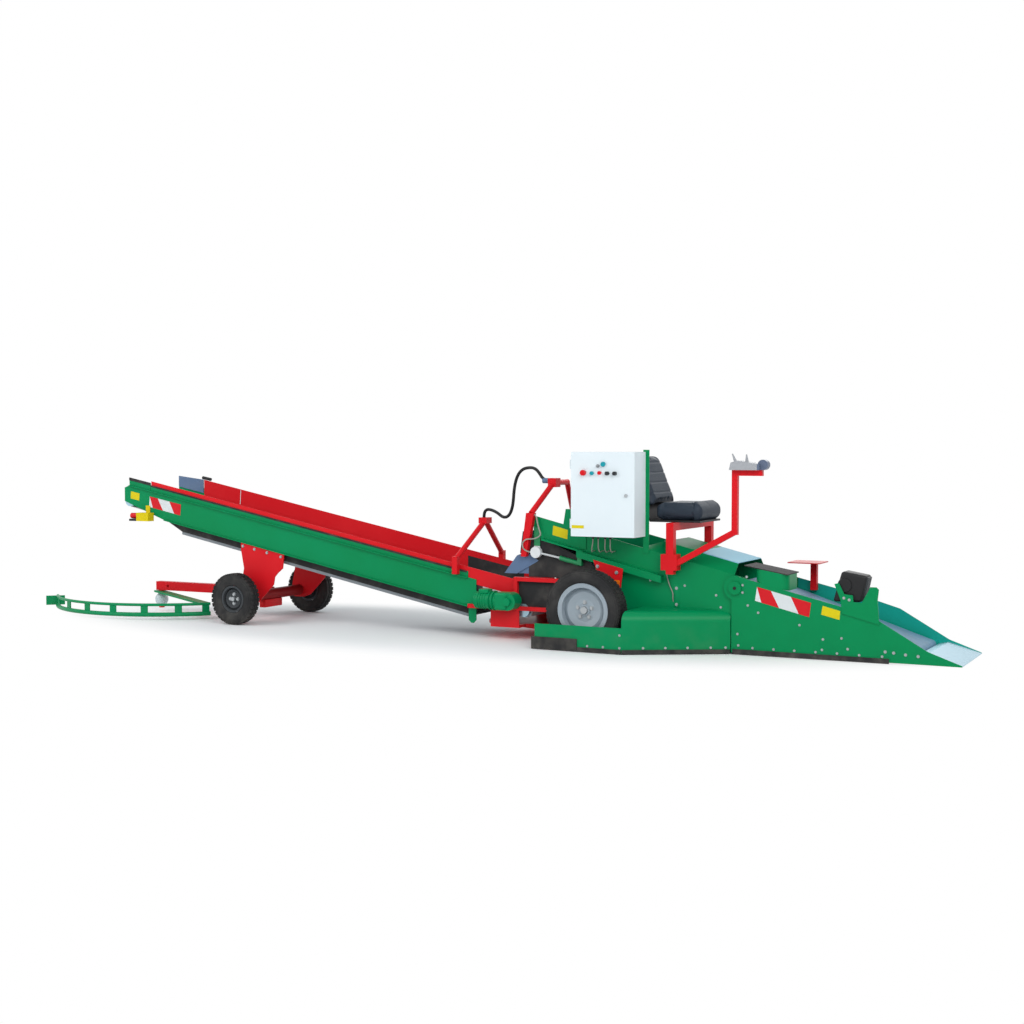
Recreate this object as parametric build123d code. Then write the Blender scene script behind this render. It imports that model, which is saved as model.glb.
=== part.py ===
from build123d import *
from collections import namedtuple
from math import atan, cos, degrees, radians, sin, tan
import os

# Potato scoop loader with a trailing swivel conveyor.
# Millimetres, +X towards the scoop, +Z up, z = 0 on the floor.
# Sizes along X are measured from the drive axle and moved once at the end.

# Overall ends
LIP_TIP_X = 2552.5
GUIDE_X = -4470.0
GUIDE_Y = 360.0
GUIDE_R = 1080.0
GUIDE_END_IN = 60.0
GUIDE_END_OUT = 100.0
GUIDE_START_DEG = 222.0
GUIDE_STOP_DEG = 322.0
REAR_X = GUIDE_X + (GUIDE_R + GUIDE_END_OUT) * cos(radians(GUIDE_START_DEG))
SHIFT_X = -(LIP_TIP_X + REAR_X) / 2

# Sheet and clearance
SHEET = 6.0
RUN_GAP = 7.0
PIN_GAP = 0.5
SEAT_GAP = 0.5

# Belts
BELT_T = 8.0
BELT_HALF = 318.0
DRUM_R = 50.0
BELT_EDGE_GAP = 22.0
BED_SET = 90.0

# Elevator walls on the chassis
INNER_Y = BELT_HALF + BELT_EDGE_GAP
WALL_Y = INNER_Y + SHEET
WALL_REAR_X = -560.0
WALL_REAR_TOP = 936.0
WALL_TAN = 0.2449
WALL_FRONT_X = 1085.0
CHANNEL_DEPTH = 155.0
PANEL_REAR_X = -60.0
PANEL_FOOT_Z = 200.0
FLANGE = 40.0
FLANGE_REAR_X = -480.0
RAIL_W = 50.0
RAIL_H = 50.0
RAIL_REAR_X = -190.0
RAIL_FRONT_X = 470.0

# Scoop
SCOOP_GAP = 14.0
SCOOP_Y = WALL_Y + SCOOP_GAP + SHEET
HINGE_X = 1012.0
HINGE_Z = 464.0
HINGE_PIN_R = 20.0
HEAD_EDGE_GAP = 12.0
HEAD_HALF = BELT_HALF + HEAD_EDGE_GAP
LOBE_R = 84.0
BOSS_R = 46.0
BOSS_T = 16.0
SCOOP_FOOT_Z = 12.0
SCOOP_FOOT_REAR_X = 985.0
PANEL_FRONT_X = SCOOP_FOOT_REAR_X - RUN_GAP
SCOOP_BEND_X = 1740.0
SCOOP_SHOULDER = (1989.0, 299.0)
LIP_ROOT_X = 2332.0
LIP_ROOT_Z = 99.0
LIP_TIP_Z = 14.0

# Drive wheels
TYRE_R = 287.5
TYRE_W = 170.0
RIM_R = 194.0
TRACK_Y = 636.0
AXLE_R = 45.0
HUB_R = 70.0
HUB_SET = 76.0
HUB_FLANGE_T = 30.0
STUDS = 5
STUD_HOLE_R = 8.0

# Trailing wheels
SMALL_R = 210.0
SMALL_W = 100.0
SMALL_RIM_R = 110.0
SMALL_Y = 531.0
SMALL_X = -3180.0
SMALL_AXLE_R = 45.0
SMALL_HUB_R = 45.0
SMALL_HUB_SET = 45.0
SMALL_STUDS = 4

# Trailing conveyor
SWIVEL_X = -780.0
SWIVEL_PIN_R = 30.0
CONV_EDGE_GAP = 36.0
CONV_IN = BELT_HALF + CONV_EDGE_GAP
CONV_Y = CONV_IN + SHEET
CONV_LOW_X = -1040.0
CONV_HIGH_X = -4490.0
CONV_REF_X = -999.0
CONV_REF_TOP = 432.0
CONV_TAN = 0.2003
CONV_DEPTH = 222.0
BOARD_H = 80.0
BOARD_FOOT = 40.0
BOARD_T = 4.0
BOARD_LOW_X = -720.0
BOARD_HIGH_X = -4200.0


def wall_top(x):
    """Height of the elevator walls' top edge."""
    return WALL_REAR_TOP - WALL_TAN * (x - WALL_REAR_X)


def scoop_edge(x):
    """Height of the scoop sides' long top edge."""
    lobe = HINGE_Z + LOBE_R
    share = (x - HINGE_X) / (SCOOP_BEND_X - HINGE_X)
    return lobe + share * (wall_top(SCOOP_BEND_X) - lobe)


def conv_top(x):
    """Height of the trailing conveyor's channel top."""
    return CONV_REF_TOP - CONV_TAN * (x - CONV_REF_X)


def box(x0, x1, y0, y1, z0, z1):
    return Pos((x0 + x1) / 2, (y0 + y1) / 2, (z0 + z1) / 2) * Box(x1 - x0, y1 - y0, z1 - z0)


def side(points, y0, y1):
    """A plate cut to an outline in X and Z, between two Y planes."""
    wire = Polyline(*[(x, y0, z) for x, z in points], close=True)
    return extrude(make_face(wire), amount=y1 - y0, dir=(0, 1, 0))


def plan(points, z0, z1):
    """A plate cut to an outline in X and Y, between two heights."""
    wire = Polyline(*[(x, y, z0) for x, y in points], close=True)
    return extrude(make_face(wire), amount=z1 - z0, dir=(0, 0, 1))


def rod(start, end, radius):
    """A round bar between two points."""
    run = Vector(*end) - Vector(*start)
    place = Plane(origin=start, z_dir=run)
    return place * Cylinder(radius, run.length, align=(Align.CENTER, Align.CENTER, Align.MIN))


def beam(start, end, width, depth):
    """A square tube's outline between two points, its width along Y."""
    run = Vector(*end) - Vector(*start)
    across = Vector(0, 1, 0) if abs(run.Y) < 0.9 * run.length else Vector(1, 0, 0)
    place = Plane(origin=start, x_dir=across, z_dir=run)
    return place * Box(width, depth, run.length, align=(Align.CENTER, Align.CENTER, Align.MIN))


def turned(outline, x, y, z):
    """A solid turned about the Y axis from (y, radius) points."""
    wire = Polyline(*[(0, py, r) for py, r in outline], close=True)
    return Pos(x, y, z) * revolve(make_face(wire), axis=Axis.Y)


def across(x, z, radius, y0, y1):
    """A round bar along Y."""
    return rod((x, y0, z), (x, y1, z), radius)


def mirrored(shape):
    return mirror(shape, about=Plane.XZ)


def both(shape):
    """The near piece and its mirror image on the far side."""
    return [shape, mirrored(shape)]


def loop(x0, z0, x1, z1, drum, thick, half):
    """A belt round two equal drums."""
    run = Vector(x1 - x0, 0, z1 - z0)
    length = run.length
    place = Plane(origin=(x0, 0, z0), x_dir=run, z_dir=(0, -1, 0))
    outer = SlotCenterToCenter(length, 2 * (drum + thick))
    inner = SlotCenterToCenter(length, 2 * drum)
    ring = extrude(Pos(length / 2, 0) * (outer - inner), amount=half, both=True)
    return place * ring


PARTS = {}


def keep(name, *shapes):
    PARTS.setdefault(name, []).extend(shapes)


# Elevator walls: one straight top edge, channel at the rear, deep panel at the axle
wall_outline = [
    (WALL_REAR_X, WALL_REAR_TOP),
    (WALL_FRONT_X, wall_top(WALL_FRONT_X)),
    (WALL_FRONT_X, HINGE_Z - LOBE_R / 2),
    (HINGE_X, HINGE_Z - LOBE_R),
    (PANEL_FRONT_X, HINGE_Z - LOBE_R),
    (PANEL_FRONT_X, PANEL_FOOT_Z),
    (PANEL_REAR_X, PANEL_FOOT_Z),
    (PANEL_REAR_X, wall_top(PANEL_REAR_X) - CHANNEL_DEPTH),
    (WALL_REAR_X, WALL_REAR_TOP - CHANNEL_DEPTH),
]
near_wall = side(wall_outline, -WALL_Y, -INNER_Y)
near_wall -= across(HINGE_X, HINGE_Z, HINGE_PIN_R + PIN_GAP, -WALL_Y - 1, -WALL_Y + SHEET + 1)


def sloped(x0, x1, drop0, drop1, y0, y1):
    """A strip along the wall top's slope, between two depths below it."""
    points = [
        (x0, wall_top(x0) - drop0),
        (x1, wall_top(x1) - drop0),
        (x1, wall_top(x1) - drop1),
        (x0, wall_top(x0) - drop1),
    ]
    return side(points, y0, y1)


in_sheet = -WALL_Y + SHEET / 2
flange_top = CHANNEL_DEPTH - SHEET
flange_x1 = RAIL_REAR_X + RAIL_W
near_wall += sloped(FLANGE_REAR_X, flange_x1, flange_top, CHANNEL_DEPTH + SHEET, -WALL_Y - FLANGE, in_sheet)
rail_foot = CHANNEL_DEPTH + RAIL_H
near_wall += sloped(RAIL_REAR_X, RAIL_FRONT_X, CHANNEL_DEPTH, rail_foot, -WALL_Y - RAIL_W, in_sheet)
near_wall -= across(0, TYRE_R, AXLE_R, -WALL_Y - 1, -WALL_Y + SHEET + 1)
keep("side_walls", *both(near_wall))

# Flared skirts: a low strip outside each wheel and a wedge with a rounded shoulder in front
SKIRT_GAP = 25.0
SKIRT_Y = TRACK_Y + TYRE_W / 2 + SKIRT_GAP + SHEET
SKIRT_REAR_X = -353.0
SKIRT_STEP_X = 318.0
SKIRT_NOSE_X = PANEL_FRONT_X
SKIRT_FOOT_Z = 14.0
SKIRT_TOP_Z = 185.0
SHOULDER_TOP_Z = 300.0
SHOULDER_R = 75.0
NOSE_Y = WALL_Y + 22.0


def wedge(grow, foot):
    """The flared box in front of a wheel, smaller by grow on every side."""
    outline = [
        (SKIRT_STEP_X + grow, -WALL_Y),
        (SKIRT_STEP_X + grow, -SKIRT_Y + grow * 1.2),
        (SKIRT_NOSE_X - grow, -NOSE_Y + grow * 0.6),
        (SKIRT_NOSE_X - grow, -WALL_Y),
    ]
    body = plan(outline, foot, SHOULDER_TOP_Z - grow)
    top = body.edges().group_by(Axis.Z)[-1]
    slanted = [e for e in top if abs(e.tangent_at(0.5).X) > 0.3 and abs(e.tangent_at(0.5).Y) > 0.3]
    return fillet(slanted, SHOULDER_R - grow)


near_skirt = wedge(0.0, SKIRT_FOOT_Z) - wedge(SHEET, SKIRT_FOOT_Z - 10.0)
near_skirt += box(SKIRT_REAR_X, SKIRT_STEP_X + 1.0, -SKIRT_Y, -SKIRT_Y + SHEET, SKIRT_FOOT_Z, SKIRT_TOP_Z)
keep("skirts", *both(near_skirt))

# Rubber pads and strips along the skirts' feet
PAD_T = 8.0
PAD_FRONT_X = -20.0
PAD_OVERHANG = 24.0
PAD_TOP_Z = 92.0
RUBBER_FOOT_Z = 4.0
STRIP_TOP_Z = 34.0
STRIP_GAP = 2.0
pad = box(SKIRT_REAR_X - PAD_OVERHANG, PAD_FRONT_X, -SKIRT_Y - PAD_T, -SKIRT_Y, RUBBER_FOOT_Z, PAD_TOP_Z)
keep("skirt_rubber", *both(pad))
strip_x0, strip_x1 = PAD_FRONT_X + STRIP_GAP, SKIRT_STEP_X - STRIP_GAP
strip = box(strip_x0, strip_x1, -SKIRT_Y - PAD_T, -SKIRT_Y, RUBBER_FOOT_Z, STRIP_TOP_Z)
keep("skirt_rubber", *both(strip))
flare = Vector(SKIRT_NOSE_X - SKIRT_STEP_X, SKIRT_Y - NOSE_Y, 0).normalized()
out_x, out_y = flare.Y * PAD_T, -flare.X * PAD_T
strip_start = SKIRT_STEP_X + STRIP_GAP
flare_strip = plan(
    [
        (strip_start, -SKIRT_Y + STRIP_GAP * flare.Y / flare.X),
        (SKIRT_NOSE_X, -NOSE_Y),
        (SKIRT_NOSE_X, -NOSE_Y - PAD_T / flare.X),
        (strip_start + out_x, -SKIRT_Y + STRIP_GAP * flare.Y / flare.X + out_y),
    ],
    RUBBER_FOOT_Z,
    STRIP_TOP_Z,
)
keep("skirt_rubber", *both(flare_strip))

# Drive axle with a hub motor and flange at each end
MOTOR_R = 92.0
MOTOR_IN_Y = WALL_Y
HUB_FACE_Y = TRACK_Y - HUB_SET
MOTOR_OUT_Y = HUB_FACE_Y - HUB_FLANGE_T
FLANGE_R = 78.0
axle = across(0, TYRE_R, AXLE_R, -MOTOR_OUT_Y, MOTOR_OUT_Y)
for sign in (-1, 1):
    ends = sorted((sign * MOTOR_IN_Y, sign * MOTOR_OUT_Y))
    axle += across(0, TYRE_R, MOTOR_R, ends[0], ends[1])
    ends = sorted((sign * MOTOR_OUT_Y, sign * HUB_FACE_Y))
    axle += across(0, TYRE_R, FLANGE_R, ends[0], ends[1])
keep("drive_axle", axle)

# Floor pan between the panels, with the drive block standing on it
PAN_Z = 206.0
PAN_REAR_X = 42.0
BLOCK_X0, BLOCK_X1 = 180.0, 620.0
BLOCK_HALF = 210.0
BLOCK_H = 130.0
keep("floor_pan", box(PAN_REAR_X, PANEL_FRONT_X, -INNER_Y, INNER_Y, PAN_Z - SHEET, PAN_Z))
keep("drive_block", box(BLOCK_X0, BLOCK_X1, -BLOCK_HALF, BLOCK_HALF, PAN_Z, PAN_Z + BLOCK_H))

# Elevator belt, drums and slider bed
BELT_DROP = 128.0
UP_HEAD_X = -490.0
UP_TAIL_X = 870.0
up_head_z = wall_top(UP_HEAD_X) - BELT_DROP - DRUM_R
up_tail_z = wall_top(UP_TAIL_X) - BELT_DROP - DRUM_R
keep("elevator_belt", loop(UP_TAIL_X, up_tail_z, UP_HEAD_X, up_head_z, DRUM_R, BELT_T, BELT_HALF))
keep(
    "elevator_drums",
    across(UP_HEAD_X, up_head_z, DRUM_R, -INNER_Y, INNER_Y),
    across(UP_TAIL_X, up_tail_z, DRUM_R, -INNER_Y, INNER_Y),
)
bed_z = DRUM_R - SHEET


def slider(x0, z0, x1, z1, lift, half):
    """A slider bed just under a belt's top run, short of both drums."""
    k = (z1 - z0) / (x1 - x0)
    step = BED_SET if x1 > x0 else -BED_SET
    points = [
        (x0 + step, z0 + k * step + lift),
        (x1 - step, z1 - k * step + lift),
        (x1 - step, z1 - k * step + lift - SHEET),
        (x0 + step, z0 + k * step + lift - SHEET),
    ]
    return side(points, -half, half)


keep("floor_pan", slider(UP_TAIL_X, up_tail_z, UP_HEAD_X, up_head_z, bed_z, INNER_Y))

# Raised cover over the belt in front of the seat
DECK_X0, DECK_X1 = 320.0, 1000.0
DECK_FULL_X = 440.0
DECK_RISE = 78.0
DECK_SLANT = 90.0
DECK_T = 4.0


def cover_section(x, rise, inset):
    """The cover's cross-section, its foot on the wall tops."""
    foot_z = wall_top(x)
    points = [
        (x, -WALL_Y + inset, foot_z),
        (x, -WALL_Y + DECK_SLANT + inset * 0.5, foot_z + rise - inset),
        (x, WALL_Y - DECK_SLANT - inset * 0.5, foot_z + rise - inset),
        (x, WALL_Y - inset, foot_z),
    ]
    return make_face(Polyline(*points, close=True))


def cover(inset):
    """The cover's long part with a ramp at its rear end."""
    low = DECK_RISE * 0.15
    full = cover_section(DECK_FULL_X, DECK_RISE, inset)
    ramp = loft([cover_section(DECK_X0, low, inset), full], ruled=True)
    long = loft([full, cover_section(DECK_X1, DECK_RISE, inset)], ruled=True)
    return ramp + long


keep("foot_deck", cover(0.0) - cover(DECK_T))

# Belt take-up screws under the elevator head
CAP_X, CAP_Z = -530.0, 664.0
CAP_R = 42.0
CAP_REACH = 34.0
SCREW_R = 8.0
SLEEVE_R = 17.0
SLEEVE_X0, SLEEVE_X1 = -335.0, -180.0
SLEEVE_Z0, SLEEVE_Z1 = 628.0, 592.0
HANGER_HALF = 24.0
LUG_H = 55.0
for sign in (-1, 1):
    y = sign * (WALL_Y + CAP_REACH / 2)
    near, far = sorted((sign * WALL_Y, sign * (WALL_Y + CAP_REACH)))
    screw = rod((CAP_X, y, CAP_Z), (SLEEVE_X0, y, SLEEVE_Z0), SCREW_R)
    screw += rod((SLEEVE_X0, y, SLEEVE_Z0), (SLEEVE_X1, y, SLEEVE_Z1), SLEEVE_R)
    screw += across(CAP_X, CAP_Z, CAP_R, near, far)
    near, far = sorted((sign * WALL_Y, sign * (WALL_Y + SHEET)))
    hanger_top = wall_top(CAP_X) - CHANNEL_DEPTH / 2
    screw += box(CAP_X - HANGER_HALF, CAP_X + HANGER_HALF, near, far, CAP_Z, hanger_top)
    near, far = sorted((sign * WALL_Y, sign * (WALL_Y + CAP_REACH)))
    lug_foot = rail_foot + LUG_H
    screw += sloped(RAIL_REAR_X, SLEEVE_X1 + HANGER_HALF, rail_foot, lug_foot, near, far)
    keep("take_ups", screw)

# Red bracket plates hung from the rails above the wheels' front
GUARD_LAP = 20.0
GUARD_X0, GUARD_X1 = -53.0, 182.0
GUARD_TIP_IN, GUARD_TIP_Z = 22.0, 393.0
GUARD_CUT_IN, GUARD_CUT_Z = 110.0, 430.0
GUARD_HEEL_IN, GUARD_HEEL_Z = 30.0, 545.0
guard_outline = [
    (GUARD_X0, wall_top(GUARD_X0) - rail_foot + GUARD_LAP),
    (GUARD_X1, wall_top(GUARD_X1) - rail_foot + GUARD_LAP),
    (GUARD_X1 - GUARD_TIP_IN, GUARD_TIP_Z),
    (GUARD_X1 - GUARD_CUT_IN, GUARD_CUT_Z),
    (GUARD_X0 + GUARD_HEEL_IN, GUARD_HEEL_Z),
]
guard_y = -WALL_Y - RAIL_W
keep("wheel_brackets", *both(side(guard_outline, guard_y - SHEET, guard_y)))

# Control cabinet: an open box, its door on the left edge, and the post behind it
CAB_X0, CAB_X1 = -157.0, 334.0
CAB_Z0, CAB_Z1 = 804.0, 1409.0
POST_DEEP = 6.0
CAB_DEEP = 196.0
CAB_BACK_Y = -WALL_Y - POST_DEEP
CAB_FRONT_Y = CAB_BACK_Y - CAB_DEEP
DOOR_T = 12.0
CAB_T = 3.0
cab = box(CAB_X0, CAB_X1, CAB_FRONT_Y, CAB_BACK_Y, CAB_Z0, CAB_Z1)
in_x0, in_x1 = CAB_X0 + CAB_T, CAB_X1 - CAB_T
cab -= box(in_x0, in_x1, CAB_FRONT_Y - 1, CAB_BACK_Y - CAB_T, CAB_Z0 + CAB_T, CAB_Z1 - CAB_T)
cab += box(CAB_X0 + 40, CAB_X1 - 40, CAB_BACK_Y - 12, CAB_BACK_Y - CAB_T, CAB_Z0 + 60, CAB_Z1 - 60)
DOOR_GAP = 0.5
door_y1 = CAB_FRONT_Y - DOOR_GAP
door = box(CAB_X0, CAB_X1, door_y1 - DOOR_T, door_y1, CAB_Z0, CAB_Z1)
KNUCKLE_R = 7.0
KNUCKLE_H = 34.0
KNUCKLE_GAP = 0.3
pin_x, pin_y = CAB_X0 - KNUCKLE_R, CAB_FRONT_Y - DOOR_GAP / 2
for z in (CAB_Z0 + 90, CAB_Z1 - 90):
    cab += rod((pin_x, pin_y, z - KNUCKLE_H), (pin_x, pin_y, z), KNUCKLE_R)
    cab += box(pin_x, CAB_X0, pin_y + 1, pin_y + 6, z - KNUCKLE_H, z)
    top = z + KNUCKLE_GAP
    door += rod((pin_x, pin_y, top), (pin_x, pin_y, top + KNUCKLE_H), KNUCKLE_R)
    door += box(pin_x, CAB_X0 + 1, pin_y - 6, pin_y - 1, top, top + KNUCKLE_H)
keep("cabinet_box", cab)
keep("cabinet_door", door)
Button = namedtuple("Button", "dx dz radius length")
BUTTONS = [
    Button(100, 456, 20, 24),
    Button(166, 453, 14, 16),
    Button(226, 456, 13, 18),
    Button(286, 453, 14, 24),
    Button(344, 453, 14, 24),
    Button(254, 518, 17, 16),
]
LOCK = Button(428, 296, 12, 10)
button_y = door_y1 - DOOR_T
for b in BUTTONS + [LOCK]:
    keep("cabinet_buttons", across(CAB_X0 + b.dx, CAB_Z0 + b.dz, b.radius, button_y - b.length, button_y))
POST_W = 45.0
POST_SET = 18.0
POST_OVER = 15.0
POST_FOOT = 120.0
REAR_POST_X = CAB_X0 - 20.0
front_post_x = CAB_X1 - POST_SET
post_z0, post_z1 = CAB_Z0 - POST_FOOT, CAB_Z1 + POST_OVER
post = box(front_post_x, front_post_x + POST_W, CAB_BACK_Y, -WALL_Y, post_z0, post_z1)
rear_post_z = CAB_Z0 + POST_OVER
rear_z0, rear_z1 = rear_post_z - POST_FOOT, rear_post_z + POST_FOOT
post += box(REAR_POST_X, REAR_POST_X + POST_W, CAB_BACK_Y, -WALL_Y, rear_z0, rear_z1)
keep("cabinet_post", post)

# Seat frame of red square tube, with the console arm on the near side
TUBE = 55.0
ARM_TUBE = 40.0
POST_GAP = 24.0
SEAT_HALF = 240.0
SEAT_NEAR_GAP = 6.0
SEAT_Y = SEAT_HALF + SEAT_NEAR_GAP - WALL_Y
SEAT_X1 = 758.0
SEAT_Z0, SEAT_Z1 = 908.0, 1046.0
POST_X = 547.0
POST_Y = -(WALL_Y + POST_GAP + TUBE / 2)
POST_FOOT_Z = 545.0
SHOE_X0, SHOE_X1 = 480.0, 600.0
SHOE_Z0, SHOE_Z1 = 573.0, 686.0
RAIL_Z = SEAT_Z0 - TUBE / 2
half = TUBE / 2
frame = box(POST_X - half, POST_X + half, POST_Y - half, -POST_Y + half, RAIL_Z - half, RAIL_Z + half)
for sign in (-1, 1):
    near, far = sorted((sign * (-POST_Y - half), sign * (-POST_Y + half)))
    frame += box(POST_X - half, POST_X + half, near, far, POST_FOOT_Z, RAIL_Z)
    near, far = sorted((sign * WALL_Y, sign * (-POST_Y + half)))
    frame += box(SHOE_X0, SHOE_X1, near, far, SHOE_Z0, SHOE_Z1)
ARM_Y = POST_Y
ARM_FOOT = (556.0, 603.0)
ARM_KNEE = (1019.0, 856.0)
ARM_TOP_Z = 1285.0
ARM_END_X = 1215.0
arm_half = ARM_TUBE / 2
arm_y0, arm_y1 = ARM_Y - arm_half, ARM_Y + arm_half
frame += beam((ARM_FOOT[0], ARM_Y, ARM_FOOT[1]), (ARM_KNEE[0], ARM_Y, ARM_KNEE[1]), ARM_TUBE, ARM_TUBE)
knee_x0, knee_x1 = ARM_KNEE[0] - arm_half, ARM_KNEE[0] + arm_half
frame += box(knee_x0, knee_x1, arm_y0, arm_y1, ARM_KNEE[1] - arm_half, ARM_TOP_Z)
frame += box(knee_x0, ARM_END_X, arm_y0, arm_y1, ARM_TOP_Z - ARM_TUBE, ARM_TOP_Z)
keep("seat_frame", frame)

# Seat: pan, cushion and back
PAN_T = 14.0
seat_y0, seat_y1 = SEAT_Y - SEAT_HALF, SEAT_Y + SEAT_HALF
PAN_INSET = 25.0
back_top = (228.0, 1388.0)
back_foot = (386.0, 1047.0)
BACK_T = 85.0
BACK_PAN_T = 12.0
CUSHION_GAP = 6.0
CUSHION_R = 45.0
lean = degrees(atan((back_foot[0] - back_top[0]) / (back_top[1] - back_foot[1])))


def back_slab(front, thick, z0, z1, half):
    """A slab parallel to the back rest, its front face set back by front."""
    t = tan(radians(lean))
    x0 = back_foot[0] - front + t * (back_foot[1] - z0)
    x1 = back_foot[0] - front + t * (back_foot[1] - z1)
    return side([(x0, z0), (x1, z1), (x1 - thick, z1), (x0 - thick, z0)], SEAT_Y - half, SEAT_Y + half)


back_foot_x = back_foot[0] - BACK_T + tan(radians(lean)) * (back_foot[1] - SEAT_Z0)
pan_x0, pan_x1 = back_foot_x - SEAT_GAP - BACK_PAN_T, SEAT_X1 - PAN_INSET
pan = box(pan_x0, pan_x1, seat_y0 + PAN_INSET, seat_y1 - PAN_INSET, SEAT_Z0, SEAT_Z0 + PAN_T)
pan += back_slab(BACK_T + SEAT_GAP, BACK_PAN_T, SEAT_Z0, back_top[1] - PAN_INSET, SEAT_HALF - PAN_INSET)
keep("seat_shell", pan)
cushion_x0 = back_foot[0] + CUSHION_GAP
cushion = box(cushion_x0, SEAT_X1, seat_y0, seat_y1, SEAT_Z0 + PAN_T, SEAT_Z1)
keep("seat_cushion", fillet(cushion.edges().filter_by(Axis.Y).group_by(Axis.X)[-1], CUSHION_R))
keep("seat_back", back_slab(0.0, BACK_T, SEAT_Z1 + SEAT_GAP, back_top[1], SEAT_HALF))

# Console with two levers and a round switch on the arm
CONSOLE_X0, CONSOLE_X1 = 990.0, 1205.0
CONSOLE_HALF = 58.0
CONSOLE_H = 66.0
CONSOLE_NOSE_H = 40.0
KNOB_SWITCH_R = 36.0
KNOB_SWITCH_X = 1222.0
console = side(
    [
        (CONSOLE_X0, ARM_TOP_Z),
        (CONSOLE_X0 + 12.0, ARM_TOP_Z + CONSOLE_H - 14.0),
        (CONSOLE_X0 + 60.0, ARM_TOP_Z + CONSOLE_H),
        (CONSOLE_X1, ARM_TOP_Z + CONSOLE_NOSE_H),
        (CONSOLE_X1, ARM_TOP_Z),
    ],
    ARM_Y - CONSOLE_HALF,
    ARM_Y + CONSOLE_HALF,
)
Lever = namedtuple("Lever", "foot_x top_x foot_r top_r rise")
LEVERS = [Lever(1024.0, 996.0, 13.0, 4.0, 112.0), Lever(1102.0, 1098.0, 14.0, 4.0, 108.0)]
LEVER_SINK = 46.0
for lever in LEVERS:
    foot_z = ARM_TOP_Z + LEVER_SINK
    run = Vector(lever.top_x - lever.foot_x, 0, ARM_TOP_Z + lever.rise - foot_z)
    place = Plane(origin=(lever.foot_x, ARM_Y, foot_z), z_dir=run)
    cone_align = (Align.CENTER, Align.CENTER, Align.MIN)
    console += place * Cone(lever.foot_r, lever.top_r, run.length, align=cone_align)
switch_y0, switch_y1 = ARM_Y - CONSOLE_HALF / 2, ARM_Y + CONSOLE_HALF / 2
console += across(KNOB_SWITCH_X, ARM_TOP_Z + KNOB_SWITCH_R, KNOB_SWITCH_R, switch_y0, switch_y1)
keep("console", console)

# Rear arch over the elevator head, standing on the posts at the discharge end
ARCH_R = 21.0
ARCH_TOP_X, ARCH_TOP_Z = -505.0, 1176.0
ARCH_TOP_HALF = 120.0
ARCH_FOOT_Z = 952.0
KNEE_R = 23.0
STAND_X0, STAND_X1 = -604.0, -540.0
STAND_W = 42.0
STAND_Z0, STAND_Z1 = 630.0, 955.0
STAND_FOOT_X0, STAND_FOOT_X1 = -648.0, -606.0
CLAMP_HALF = 34.0
CLAMP_Y0, CLAMP_Y1 = -150.0, -70.0
arch_y = WALL_Y + ARCH_R
stand_x = (STAND_X0 + STAND_X1) / 2
stand_outline = [
    (STAND_FOOT_X0, STAND_Z0),
    (STAND_FOOT_X1, STAND_Z0),
    (STAND_X1, STAND_Z1),
    (STAND_X0, STAND_Z1),
]


def stand_rear(z):
    """The posts' leaning rear edge."""
    return STAND_FOOT_X0 + (STAND_X0 - STAND_FOOT_X0) * (z - STAND_Z0) / (STAND_Z1 - STAND_Z0)


arch = rod((ARCH_TOP_X, -ARCH_TOP_HALF, ARCH_TOP_Z), (ARCH_TOP_X, ARCH_TOP_HALF, ARCH_TOP_Z), ARCH_R)
for sign in (-1, 1):
    knee = (ARCH_TOP_X, sign * ARCH_TOP_HALF, ARCH_TOP_Z)
    arch += rod((stand_x, sign * arch_y, ARCH_FOOT_Z), knee, ARCH_R)
    arch += Pos(*knee) * Sphere(KNEE_R)
    near, far = sorted((sign * WALL_Y, sign * (WALL_Y + STAND_W)))
    arch += side(stand_outline, near, far)
clamp_x0, clamp_x1 = ARCH_TOP_X - CLAMP_HALF, ARCH_TOP_X + CLAMP_HALF
arch += box(clamp_x0, clamp_x1, CLAMP_Y0, CLAMP_Y1, ARCH_TOP_Z - CLAMP_HALF, ARCH_TOP_Z + CLAMP_HALF)
keep("arch_rear", arch)

# Rubber curtain behind the posts, and a hanging wing inside each
CURTAIN_T = 8.0
CURTAIN_Z0, CURTAIN_Z1 = 655.0, 818.0
curtain_half = WALL_Y + STAND_W
curtain_outline = [
    (stand_rear(CURTAIN_Z0), CURTAIN_Z0),
    (stand_rear(CURTAIN_Z1), CURTAIN_Z1),
    (stand_rear(CURTAIN_Z1) - CURTAIN_T, CURTAIN_Z1),
    (stand_rear(CURTAIN_Z0) - CURTAIN_T, CURTAIN_Z0),
]
keep("head_flaps", side(curtain_outline, -curtain_half, curtain_half))
wing_outline = [
    (-805.0, 498.0),
    (-700.0, 634.0),
    (STAND_FOOT_X0 + STRIP_GAP, CURTAIN_Z0),
    (STAND_FOOT_X1, CURTAIN_Z0),
    (-520.0, 600.0),
    (-700.0, 498.0),
]
keep("head_flaps", *both(side(wing_outline, -WALL_Y, -WALL_Y + CURTAIN_T)))
apron_y = WALL_Y - CURTAIN_T
apron_outline = [
    (-690.0, 500.0),
    (-600.0, 640.0),
    (-360.0, 590.0),
    (-300.0, 500.0),
]
keep("head_flaps", *both(side(apron_outline, -apron_y, -apron_y + CURTAIN_T)))

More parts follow.
